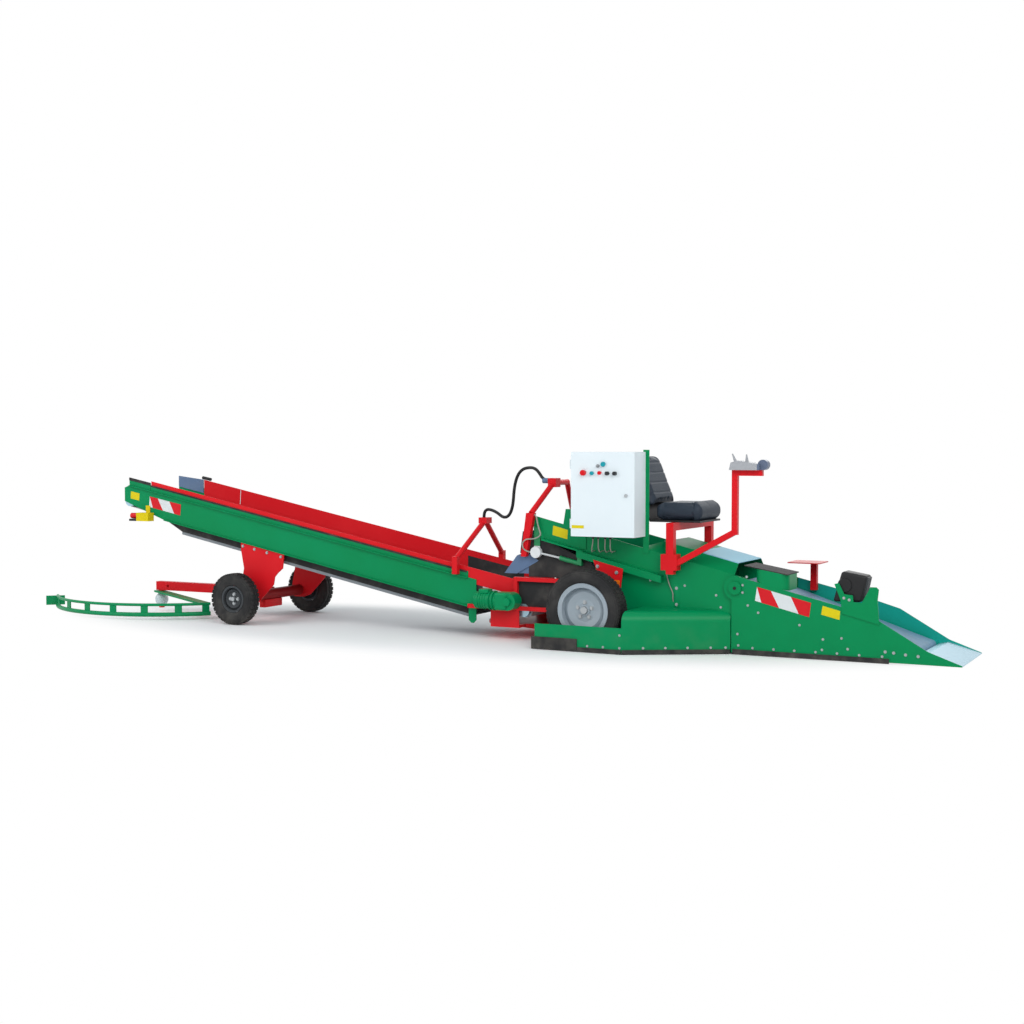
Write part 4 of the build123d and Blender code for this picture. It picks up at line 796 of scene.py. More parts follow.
@dataclass
class Tread:
    """One wheel's tyre, with its blocks.

    A row is its place across the tread, its width and its skew in degrees. A sidewall point is a share of
    the half width and of the sidewall's height, and so is a ring, the other way round.
    """

    name: str
    body: Body
    radius: float
    width: float
    rim: float
    depth: float
    rows: Tuple[Tuple[float, float, float], ...]
    count: int
    gap: float
    sidewall: Outline = ((0.80, 0.05), (0.95, 0.28), (0.995, 0.48), (0.96, 0.70), (0.88, 0.90), (0.74, 0.98))
    rings: Outline = ((0.80, 0.925), (0.62, 0.955))
    bead: Tuple[float, float] = (0.70, 0.002)
    inside: Tuple[float, float] = (0.66, 0.012)
    ring_half: float = 0.0035
    ring_sink: float = 0.003
    ring_rise: float = 0.0025
    sink: float = 0.002
    steps: int = 84

    def build(self) -> None:
        """Spins the carcass and sets the blocks on it."""
        middle = tyre_middle(self.name)
        base = self.radius - self.depth
        half = self.width / 2
        wall = base - self.rim
        side = [(half * self.bead[0], self.rim + self.bead[1])]
        side += [(half * out, self.rim + wall * up) for out, up in self.sidewall]
        liner = (half * self.inside[0], self.rim + self.inside[1])
        outline = [(-y, r) for y, r in side] + [(0.0, base)] + side[::-1] + [liner, (-liner[0], liner[1])]
        piece = Piece("tread_" + self.name).turned(outline, middle, self.steps)
        for up, out in self.rings:
            for way in (-1, 1):
                y = way * half * out
                r = self.rim + wall * up
                foot, crest = y - way * self.ring_sink, y + way * self.ring_rise
                line = [(foot, r - self.ring_half), (crest, r), (foot, r + self.ring_half)]
                piece.turned(line, middle, self.steps)
        pitch = 2 * math.pi / self.count
        for place, wide, skew in self.rows:
            drop = self.depth * 0.1 + 0.5 * self.depth * (abs(place) / half) ** 2
            size = (pitch * base - self.gap, wide, self.depth + 2 * self.sink, 1.0)
            shape = Matrix.Rotation(math.radians(skew), 4, "Z") @ Matrix.Diagonal(size)
            seat = Matrix.Translation((0, place, base + self.depth * 0.5 - drop - self.sink))
            for i in range(self.count):
                angle = pitch * (i + (0.5 if place > 0 else 0.0))
                turn = Matrix.Translation(middle) @ Matrix.Rotation(angle, 4, "Y")
                bmesh.ops.create_cube(piece.bm, size=1.0, matrix=turn @ seat @ shape)
        piece.finish(TYRE, self.body, "tyre", ["tyre_" + self.name], 30.0)


@dataclass
class Studio:
    """Floor, light and camera."""

    camera_place: Point = (4.314, -10.209, 1.433)
    yaw: float = 27.14
    pitch: float = -2.454
    lens: float = 52.08
    floor_half: float = 40.0
    fade: Tuple[float, float] = (0.9, 2.6)
    fade_along: float = 0.16
    sky: Colour = (0.88, 0.94, 1.0)
    sky_strength: float = 0.52
    lamp_size: float = 6.0
    lamps: Tuple[Tuple[str, Point, Point, float], ...] = (
        ("key", (5.8, -6.8, 6.8), (0.0, 0.0, 0.5), 525.0),
        ("fill", (-7.0, -6.0, 5.0), (-2.0, 0.0, 0.5), 270.0),
        ("rim", (-1.0, 8.0, 6.0), (0.0, 0.0, 0.6), 210.0),
    )

    def build(self) -> None:
        """Sets the studio up."""
        self._camera()
        self._floor()
        self._world()
        for name, place, aim, power in self.lamps:
            self._lamp(name, place, aim, power)
        bpy.context.scene.view_settings.view_transform = "Standard"

    def _camera(self) -> None:
        """Puts the camera where the photograph was taken."""
        data = bpy.data.cameras.new("camera")
        data.sensor_width = SENSOR_MM
        data.lens = self.lens
        data.clip_end = 200.0
        camera = bpy.data.objects.new("camera", data)
        camera.location = at(*self.camera_place)
        camera.rotation_euler = (math.radians(90.0 + self.pitch), 0.0, math.radians(self.yaw))
        bpy.context.scene.collection.objects.link(camera)
        bpy.context.scene.camera = camera

    def _floor(self) -> None:
        """Lays a pale floor."""
        bm = bmesh.new()
        bmesh.ops.create_grid(bm, x_segments=1, y_segments=1, size=self.floor_half)
        mesh = bpy.data.meshes.new("floor")
        bm.to_mesh(mesh)
        bm.free()
        floor = bpy.data.objects.new("floor", mesh)
        bpy.context.scene.collection.objects.link(floor)
        g = Graph("studio floor")
        paint = {"Base Color": (0.95, 0.95, 0.95), "Roughness": 0.95}
        matt = g.node("ShaderNodeBsdfPrincipled", {}, paint)["BSDF"]
        white = g.node("ShaderNodeEmission", {}, {"Color": (1.0, 1.0, 1.0), "Strength": 1.0})["Emission"]
        rays = g.node("ShaderNodeLightPath", {}, {})
        seen = rays["Is Camera Ray"] + rays["Is Glossy Ray"] + rays["Is Transmission Ray"]
        x, y = g.axis("X"), g.axis("Y")
        away = (y * y + x * x * self.fade_along).step(*self.fade)
        links = {0: seen.step(0.0, 1.0) * away, 1: matt, 2: white}
        share = g.node("ShaderNodeMixShader", {}, links)["Shader"]
        g.node("ShaderNodeOutputMaterial", {}, {"Surface": share})
        mesh.materials.append(g.holder)

    def _world(self) -> None:
        """White to the camera and in reflections, a soft sky as light."""
        world = bpy.data.worlds.new("studio sky")
        g = Graph(world.name, world)
        rays = g.node("ShaderNodeLightPath", {}, {})
        kind = "ShaderNodeBackground"
        soft = g.node(kind, {}, {"Color": self.sky, "Strength": self.sky_strength})["Background"]
        white = g.node(kind, {}, {"Color": (1.0, 1.0, 1.0), "Strength": 1.0})["Background"]
        seen = g.math("MAXIMUM", rays["Is Camera Ray"], rays["Is Glossy Ray"])
        seen = g.math("MAXIMUM", seen, rays["Is Transmission Ray"])
        share = g.node("ShaderNodeMixShader", {}, {0: seen, 1: soft, 2: white})["Shader"]
        g.node("ShaderNodeOutputWorld", {}, {"Surface": share})
        bpy.context.scene.world = world

    def _lamp(self, name: str, place: Point, aim: Point, power: float) -> None:
        """Adds a soft lamp.

        Args:
            name: Its name.
            place: Where it hangs, x from the drive axle.
            aim: What it points at, x from the drive axle.
            power: Its power in watts.
        """
        data = bpy.data.lights.new(name, "AREA")
        data.size = self.lamp_size
        data.energy = power
        lamp = bpy.data.objects.new(name, data)
        lamp.location = at(*place)
        lamp.rotation_euler = (at(*aim) - at(*place)).to_track_quat("-Z", "Y").to_euler()
        bpy.context.scene.collection.objects.link(lamp)


@dataclass
class Cord:
    """A cable on one smooth line, its route in points from the drive axle."""

    name: str
    radius: float
    route: Tuple[Point, ...]
    jacket: Rubber = CABLE

    def _curve(self, bevel: float) -> bpy.types.Mesh:
        """The route's spline as a mesh.

        Args:
            bevel: The tube's radius, or zero for the bare line.

        Returns:
            The mesh.
        """
        data = bpy.data.curves.new(self.name + "_line", "CURVE")
        data.dimensions = "3D"
        data.resolution_u = 12
        data.bevel_depth = bevel
        data.bevel_resolution = 4
        data.use_fill_caps = bevel > 0
        spline = data.splines.new("NURBS")
        spline.points.add(len(self.route) - 1)
        for point, place in zip(spline.points, self.route):
            point.co = (*at(*place), 1.0)
        spline.order_u = 3
        spline.use_endpoint_u = True
        line = bpy.data.objects.new(self.name + "_line", data)
        bpy.context.scene.collection.objects.link(line)
        bpy.context.view_layer.update()
        mesh = bpy.data.meshes.new_from_object(line.evaluated_get(bpy.context.evaluated_depsgraph_get()))
        bpy.data.objects.remove(line)
        return mesh

    def tube(self) -> bpy.types.Object:
        """Makes and dresses the tube.

        Returns:
            The tube, not yet riding.
        """
        mesh = self._curve(self.radius)
        mesh.name = self.name + "_tube"
        mesh.materials.clear()
        mesh.materials.append(SHOP.get(self.jacket))
        mesh.shade_smooth()
        made = bpy.data.objects.new(self.name, mesh)
        bpy.context.scene.collection.objects.link(made)
        return made

    def declare(self) -> None:
        path = [tuple(v.co) for v in self._curve(0.0).vertices]
        tuple(at(*self.route[0]))
        2 * self.radius


@dataclass
class Wiring:
    """The cable across the swivel and the grey leads."""

    swivel_route: Tuple[Point, ...] = (
        (-1.165, 0.0, 0.8955), (-1.165, 0.0, 0.962), (-1.060, -0.020, 0.952), (-0.955, -0.045, 0.885),
        (-0.882, -0.060, 0.955), (-0.862, -0.070, 1.170), (-0.800, -0.085, 1.275), (-0.700, -0.095, 1.292),
        (-0.645, -0.105, 1.268), (-0.592, -0.110, 1.190), (-0.5395, -0.110, 1.190),
    )
    leads: Outline = ((-0.03, -0.066), (0.012, 0.004), (0.065, 0.052), (0.105, 0.096))
    arch_route: Tuple[Point, ...] = (
        (-0.545, -0.367, 0.945), (-0.526, -0.370, 0.932), (-0.520, -0.368, 0.885), (-0.505, -0.368, 0.835),
        (-0.485, -0.374, 0.790), (-0.535, -0.390, 0.762), (-0.598, -0.402, 0.764), (-0.634, -0.402, 0.725),
        (-0.612, -0.392, 0.668), (-0.562, -0.366, 0.664),
    )
    seat_route: Tuple[Point, ...] = (
        (0.500, -0.360, 0.550), (0.506, -0.360, 0.520), (0.520, -0.356, 0.462), (0.548, -0.354, 0.410),
        (0.546, -0.356, 0.368), (0.546, -0.343, 0.345),
    )
    lead_y: float = -0.455
    lead_top: float = 0.803
    lead_foot: float = 0.69
    wall_y: float = -0.345
    cable_radius: float = 0.012
    lead_radius: float = 0.0045
    arch_radius: float = 0.0055
    seat_radius: float = 0.004
    gland_sink: float = 0.002
    gland_height: float = 0.022
    gland_radii: Tuple[float, float] = (0.012, 0.008)

    def build(self) -> None:
        """Runs the cables."""
        swivel = Cord("swivel_cable", self.cable_radius, self.swivel_route)
        made = swivel.tube()
        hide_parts("control_cable")
        start, end = at(*self.swivel_route[-1]), at(*self.swivel_route[0])
        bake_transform(made)
        swivel.declare()
        glands = Piece("lead_glands")
        for i, (top_x, foot_x) in enumerate(self.leads):
            self._lead(f"cabinet_lead_{i}", self._drop(top_x, foot_x), self.lead_radius)
            seat = at(top_x, self.lead_y, self.lead_top + self.gland_sink)
            wide, narrow = self.gland_radii
            glands.rod(seat, seat - Vector((0, 0, self.gland_height)), wide, 18, narrow)
        glands.finish(BLACK_PLASTIC, Body.CHASSIS, "black_plastic")
        self._lead("arch_lead", self.arch_route, self.arch_radius)
        self._lead("seat_lead", self.seat_route, self.seat_radius)

    def _drop(self, top_x: float, foot_x: float) -> Tuple[Point, ...]:
        """A route from the cabinet's underside into the wall.

        Args:
            top_x: Where it leaves the cabinet.
            foot_x: Where it enters the wall.

        Returns:
            The route's points.
        """
        return (
            (top_x, self.lead_y, self.lead_top), (top_x, self.lead_y, self.lead_top - 0.045),
            (top_x * 0.7 + foot_x * 0.3, self.lead_y + 0.004, self.lead_foot + 0.024),
            (top_x * 0.3 + foot_x * 0.7, self.lead_y + 0.04, self.lead_foot - 0.008),
            (foot_x, self.lead_y + 0.075, self.lead_foot), (foot_x, self.wall_y, self.lead_foot),
        )

    def _lead(self, name: str, route: Tuple[Point, ...], radius: float) -> None:
        """One grey lead that the chassis carries.

        Args:
            name: Its name.
            route: Its points.
            radius: Half its thickness.
        """
        lead = Cord(name, radius, route, LEAD)
        made = lead.tube()
        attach(made, Body.CHASSIS.value)
        lead.declare()


@dataclass
class Seat:
    """Black vinyl cushion and back with sewn channels."""

    shrink: float = 0.012
    voxel: float = 0.006
    swell_cap: float = 0.016
    channel_depth: float = 0.004
    channel_half: float = 0.010
    pressure: float = 4.0
    settle_frames: int = 20
    edge_steps: int = 4

    def build(self) -> None:
        """Makes the two pads."""
        self._pad("seat_cushion", "cushion_pad", 1, Vector((1, 0, 0)), edge=0.034, reach=0.012)
        self._pad("seat_back", "back_pad", 5, Vector((-0.42, 0, 0.907)), edge=0.026, reach=0.034)

    def _pad(self, node: str, name: str, channels: int, along: Vector, edge: float, reach: float) -> None:
        """Swells one pad from its CAD solid and sews its channels.

        Args:
            node: The CAD node it stands for.
            name: The piece's name.
            channels: How many panels the channels divide it into.
            along: The way the channels are stepped.
            edge: The radius of its edges.
            reach: How much longer it is than its solid, where it meets the other pad.
        """
        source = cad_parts[node]
        bm = bmesh.new()
        bm.from_mesh(source.data)
        bmesh.ops.remove_doubles(bm, verts=bm.verts, dist=1e-5)
        bmesh.ops.dissolve_limit(bm, angle_limit=0.02, verts=bm.verts, edges=bm.edges)
        low, high = (Vector(c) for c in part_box(node))
        middle = (low + high) / 2
        along = along.normalized()
        for v in bm.verts:
            if (v.co - middle).dot(along) < 0:
                v.co -= along * reach
            for axis in range(3):
                gap = v.co[axis] - middle[axis]
                v.co[axis] = middle[axis] + gap - math.copysign(self.shrink, gap)
        rounded(bm, bm.edges[:], edge, self.edge_steps)
        bmesh.ops.recalc_face_normals(bm, faces=bm.faces)
        mesh = bpy.data.meshes.new(name)
        bm.to_mesh(mesh)
        bm.free()
        pad = bpy.data.objects.new(name, mesh)
        bpy.context.scene.collection.objects.link(pad)
        self._remesh(pad)
        self._swell(pad)
        self._sew(pad, channels, along)
        pad.data.materials.clear()
        pad.data.materials.append(SHOP.get(VINYL))
        pad.data.shade_smooth()
        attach(pad, Body.CHASSIS.value)
        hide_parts(node)
        LOG.info("%s: %d faces", name, len(pad.data.polygons))

    def _apply(self, pad: bpy.types.Object) -> None:
        """Applies the pad's modifiers to its mesh.

        Args:
            pad: The pad.
        """
        bpy.context.view_layer.update()
        mesh = bpy.data.meshes.new_from_object(pad.evaluated_get(bpy.context.evaluated_depsgraph_get()))
        pad.modifiers.clear()
        pad.data = mesh

    def _remesh(self, pad: bpy.types.Object) -> None:
        """Gives the pad an even skin.

        Args:
            pad: The pad.
        """
        skin = pad.modifiers.new("skin", "REMESH")
        skin.mode = "VOXEL"
        skin.voxel_size = self.voxel
        self._apply(pad)

    def _swell(self, pad: bpy.types.Object) -> None:
        """Blows the pad up a little, with a cap on how far it moves.

        Args:
            pad: The pad.
        """
        rest = [v.co.copy() for v in pad.data.vertices]
        cloth = pad.modifiers.new("fill", "CLOTH")
        cloth.settings.use_pressure = True
        cloth.settings.uniform_pressure_force = self.pressure
        cloth.settings.effector_weights.gravity = 0.0
        scene = bpy.context.scene
        for step in range(1, self.settle_frames + 1):
            scene.frame_set(step)
        self._apply(pad)
        scene.frame_set(1)
        for v, was in zip(pad.data.vertices, rest):
            move = v.co - was
            if move.length > self.swell_cap:
                v.co = was + move.normalized() * self.swell_cap

    def _sew(self, pad: bpy.types.Object, channels: int, along: Vector) -> None:
        """Presses the sewn channels in.

        Args:
            pad: The pad.
            channels: How many panels there are.
            along: The way the channels are stepped.
        """
        places = [v.co.dot(along) for v in pad.data.vertices]
        low, high = min(places), max(places)
        pitch = (high - low) / channels
        normals = [v.normal.copy() for v in pad.data.vertices]
        for v, place, normal in zip(pad.data.vertices, places, normals):
            share = (place - low) / pitch
            near = abs(share - round(share)) * pitch
            if 0 < round(share) < channels and near < self.channel_half:
                v.co -= normal * self.channel_depth * 0.5 * (1 + math.cos(math.pi * near / self.channel_half))


@dataclass(frozen=True)
class Film:
    """A film's name, body, face and outline in X and Z."""

    name: str
    body: Body
    y: float
    outline: Outline


PATCHES: Tuple[Film, ...] = (
    Film("scoop_patch", Body.SCOOP, -SCOOP_FACE, ((1.62, 0.31), (1.745, 0.28), (1.75, 0.34), (1.63, 0.37))),
    Film(
        "wall_patch", Body.CHASSIS, -WALL_FACE,
        ((-0.405, 0.795), (-0.285, 0.766), (-0.28, 0.835), (-0.40, 0.865)),
    ),
    Film(
        "conveyor_patch", Body.CONVEYOR, -CONVEYOR_FACE,
        ((-4.425, 1.004), (-4.33, 0.986), (-4.325, 1.048), (-4.42, 1.066)),
    ),
    Film(
        "door_patch", Body.DOOR, -DOOR_FACE,
        ((-0.15, 0.862), (-0.055, 0.862), (-0.055, 0.884), (-0.15, 0.884)),
    ),
)
CHEVRONS: Tuple[Film, ...] = (
    Film(
        "scoop_chevron", Body.SCOOP, -SCOOP_FACE,
        ((1.155, 0.382), (1.537, 0.288), (1.55, 0.386), (1.169, 0.479)),
    ),
    Film(
        "conveyor_chevron", Body.CONVEYOR, -CONVEYOR_FACE,
        ((-4.222, 0.935), (-3.885, 0.868), (-3.876, 0.96), (-4.213, 1.024)),
    ),
)


@dataclass
class Markings:
    """Reflective chevrons and plain yellow patches."""

    thickness: Vector = field(default_factory=lambda: Vector((0, -0.0008, 0)))
    cuts: Tuple[Tuple[float, float, float, float], ...] = (
        (0.0, 0.0, 0.12, 0.0), (0.12, 0.0, 0.45, 0.26), (0.45, 0.26, 0.81, 0.63), (0.81, 0.63, 1.0, 1.0),
    )

    def build(self) -> None:
        """Lays the films on the scoop, the walls, the conveyor and the door."""
        for band in CHEVRONS:
            self._chevron(band)
        for patch in PATCHES:
            film = Piece(patch.name).plate(on_face(patch.outline, patch.y), self.thickness)
            film.finish(YELLOW, patch.body, "yellow_plastic")

    def _chevron(self, band: Film) -> None:
        """A band of slanted stripes, white and red in turn.

        Args:
            band: The band, its corners low rear, low front, high front and high rear.
        """
        low_a, low_b, high_b, high_a = (Vector(c) for c in band.outline)
        for i, (low0, high0, low1, high1) in enumerate(self.cuts):
            quad = [low_a.lerp(low_b, low0), low_a.lerp(low_b, low1), high_a.lerp(high_b, high1)]
            if high0 < high1:
                quad.append(high_a.lerp(high_b, high0))
            outline = on_face([(p.x, p.y) for p in quad], band.y)
            film = Piece(f"{band.name}_{i}").plate(outline, self.thickness)
            film.finish(RED_FILM if i % 2 else WHITE_FILM, band.body, "red_paint")


@dataclass(frozen=True)
class BoltRow:
    """Bolt heads on a near face and its mirror, places in X and Z from the drive axle."""

    name: str
    body: Body
    y: float
    places: Tuple[Tuple[float, float], ...]
    across: float = 0.0135
    mirrored: bool = True
    start: float = 0.0
    fall: float = 0.0

    def build(self) -> None:
        """Sets the bolts, square to a face that falls inwards by so much to the metre from its start."""
        piece = Piece(self.name)
        for side in (-1, 1) if self.mirrored else (-1,):
            for x, z in self.places:
                y = self.y - self.fall * (x - self.start)
                piece.bolt(at(x, side * y, z), Vector((self.fall, side, 0)), self.across)
        piece.finish(ZINC, self.body, "bare_steel")


BOLT_ROWS: Tuple[BoltRow, ...] = (
    BoltRow(
        "skirt_bolts", Body.CHASSIS, SKIRT_FACE,
        ((0.305, 0.135), (0.06, 0.046), (0.18, 0.046), (0.305, 0.046)),
    ),
    BoltRow(
        "flare_bolts", Body.CHASSIS, SKIRT_FACE,
        ((0.45, 0.046), (0.585, 0.046), (0.72, 0.046), (0.86, 0.046), (0.95, 0.046)),
        start=0.318, fall=0.5818,
    ),
    BoltRow(
        "wall_bolts", Body.CHASSIS, WALL_FACE,
        ((0.633, 0.463), (0.867, 0.405), (0.901, 0.322), (0.371, 0.492), (0.945, 0.484)),
    ),
    BoltRow("seam_bolts", Body.CHASSIS, 0.3485, ((0.572, 0.442), (0.572, 0.326)), 0.017),
    BoltRow(
        "scoop_bolts", Body.SCOOP, SCOOP_FACE,
        (
            (1.066, 0.435), (1.066, 0.486), (1.095, 0.545), (1.104, 0.347), (1.179, 0.30), (1.471, 0.23),
            (1.634, 0.142), (1.761, 0.156), (1.628, 0.07), (1.803, 0.086), (1.031, 0.144), (1.037, 0.065),
            (1.14, 0.052), (1.29, 0.052), (1.436, 0.052), (1.584, 0.052), (1.731, 0.052), (1.881, 0.05),
            (2.034, 0.05),
        ),
    ),
    BoltRow(
        "lip_bolts", Body.SCOOP, SCOOP_FACE,
        ((2.054, 0.083), (2.11, 0.079), (2.188, 0.071), (2.27, 0.066)), 0.016,
    ),
    BoltRow("bracket_bolts", Body.CHASSIS, 0.402, ((-0.017, 0.58), (0.132, 0.54)), 0.021),
    BoltRow(
        "leg_bolts", Body.CONVEYOR, 0.37,
        ((-3.222, 0.629), (-3.106, 0.606), (-2.98, 0.582), (-2.842, 0.553)), 0.019,
    ),
    BoltRow("ear_bolts", Body.SCOOP, 0.374, ((1.776, 0.43), (1.812, 0.419)), 0.015, False),
)


@dataclass(frozen=True)
class HubFittings:
    """A wheel's nuts and its hub cap."""

    name: str
    body: Body
    face: float
    pitch: float
    count: int
    cap: float
    nut: float = 0.024
    cap_seat: float = 0.0095
    cap_height: float = 0.014
    cap_taper: float = 0.82

    def build(self) -> None:
        """Sets the nuts round the hub and the cap on it."""
        middle = tyre_middle(self.name)
        out = -1.0 if middle.y < 0 else 1.0
        piece = Piece("nuts_" + self.name)
        for i in range(self.count):
            angle = 2 * math.pi * i / self.count + math.pi / 2
            x, z = self.pitch * math.cos(angle), self.pitch * math.sin(angle)
            seat = Vector((middle.x + x, out * self.face, middle.z + z))
            piece.bolt(seat, Vector((0, out, 0)), self.nut)
        seat = Vector((middle.x, out * (self.face + self.cap_seat), middle.z))
        top = seat + Vector((0, out * self.cap_height, 0))
        piece.rod(seat, top, self.cap, 28, self.cap * self.cap_taper)
        piece.finish(ZINC, self.body, "bare_steel")


@dataclass
class WorkLamp:
    """The work lamp, tilted in its cradle on the scoop's near side, outlines in X and Z."""

    near: float = -0.352
    far: float = -0.206
    low_rear: Tuple[float, float] = (1.692, 0.4)
    high_rear: Tuple[float, float] = (1.752, 0.609)
    high_front: Tuple[float, float] = (1.926, 0.58)
    low_front: Tuple[float, float] = (1.888, 0.402)
    boss: Tuple[float, float] = (1.775, 0.515)
    boss_radii: Tuple[float, float] = (0.05, 0.046)
    boss_sink: float = 0.004
    boss_rise: float = 0.009
    housing_edge: float = 0.02
    bezel_edge: float = 0.003
    cradle_thick: float = 0.008
    cradle: Outline = (
        (1.71, 0.522), (1.74, 0.53), (1.777, 0.456), (1.835, 0.45), (1.84, 0.406), (1.896, 0.402),
        (1.944, 0.493), (1.951, 0.51), (1.992, 0.511), (2.009, 0.495), (2.001, 0.421), (2.014, 0.262),
        (1.763, 0.325), (1.753, 0.416),
    )

    def build(self) -> None:
        """Makes the housing with its boss, the bezel, the glass and the cradle."""
        housing = Piece("lamp_housing")
        corners = (self.low_rear, self.high_rear, self.high_front, self.low_front)
        housing.plate(on_face(corners, self.near), Vector((0, self.far - self.near, 0)))
        housing.soften(self.housing_edge, 4)
        x, z = self.boss
        foot, tip = self.boss_radii
        housing.rod(at(x, self.near + self.boss_sink, z), at(x, self.near - self.boss_rise, z), foot, 40, tip)
        housing.finish(BLACK_PLASTIC, Body.SCOOP, "black_plastic", ["work_lamp"])
        bezel = self._slab(Piece("lamp_bezel"), trim=0.06, inset=0.018, low=-0.004, high=0.006)
        bezel.soften(self.bezel_edge, 2).finish(DARK_RIM, Body.SCOOP, "black_plastic")
        glass = self._slab(Piece("lamp_glass"), trim=0.14, inset=0.03, low=0.0, high=0.008)
        glass.finish(LENS, Body.SCOOP, "black_plastic")
        outline = on_face(self.cradle, -SCOOP_FACE)
        cradle = Piece("lamp_cradle").plate(outline, Vector((0, -self.cradle_thick, 0)))
        cradle.finish(GREEN, Body.SCOOP, "green_paint", ["lamp_strap"])

    def _slab(self, piece: Piece, trim: float, inset: float, low: float, high: float) -> Piece:
        """Adds a slab on the lamp's front face.

        Args:
            piece: What it is added to.
            trim: The share of the face's height left free at each end.
            inset: The width left free at each side.
            low: Where it starts, out from the face.
            high: Where it ends.

        Returns:
            The piece.
        """
        foot, head = on_face((self.low_front, self.high_front), 0.0)
        out = (head - foot).cross(Vector((0, -1, 0))).normalized()
        out = out if out.x > 0 else -out
        ends = [foot.lerp(head, trim) + out * low, foot.lerp(head, 1.0 - trim) + out * low]
        sides = (Vector((0, self.near + inset, 0)), Vector((0, self.far - inset, 0)))
        face = [ends[0] + sides[0], ends[1] + sides[0], ends[1] + sides[1], ends[0] + sides[1]]
        return piece.plate(face, out * (high - low))


@dataclass(frozen=True)
class Strip:
    """A strip along both sides of the conveyor, its edges so far below the channel's top.

    Its thickness is counted outwards, and its lower edge is shorter by its slant at the high end.
    """

    name: str
    finish: Finish
    slot: str
    ends: Tuple[float, float]
    drops: Tuple[float, float]
    y: float
    thick: float
    slant: float = 0.0
    slope: float = 0.2003
    channel_x: float = -0.999
    channel_top: float = 0.432

    def build(self) -> None:
        """Lays the strip along the slope."""
        (foot, head), (high, low) = self.ends, self.drops
        corners = ((foot, high), (head, high), (head + self.slant, low), (foot, low))
        outline = [(x, self.channel_top - self.slope * (x - self.channel_x) - drop) for x, drop in corners]
        piece = Piece(self.name)
        for side in (-1, 1):
            piece.plate(on_face(outline, side * self.y), Vector((0, side * self.thick, 0)))
        piece.finish(self.finish, Body.CONVEYOR, self.slot)


STRIPS: Tuple[Strip, ...] = (
    # Painted shadow: black strips under the red boards stand in for the shade beneath them.
    Strip("board_shadow_strips", BLACK_RUBBER, "black_rubber", (-1.12, -4.2), (-0.047, -0.032), 0.36, 0.0012),
    Strip("board_linings", RED, "red_paint", (-1.12, -4.2), (0.038, 0.083), 0.3538, -0.0035),
    Strip("inlet_linings", BLACK_RUBBER, "black_rubber", (-0.99, -1.5), (-0.03, 0.082), 0.3502, -0.002),
    # Painted shadow: black strips beside the return tray stand in for the shade between the tray and the
    # walls.
    Strip("tray_shadow_strips", BLACK_RUBBER, "black_rubber", (-1.13, -4.09), (0.218, 0.284), 0.3184, 0.002, 0.19),
)


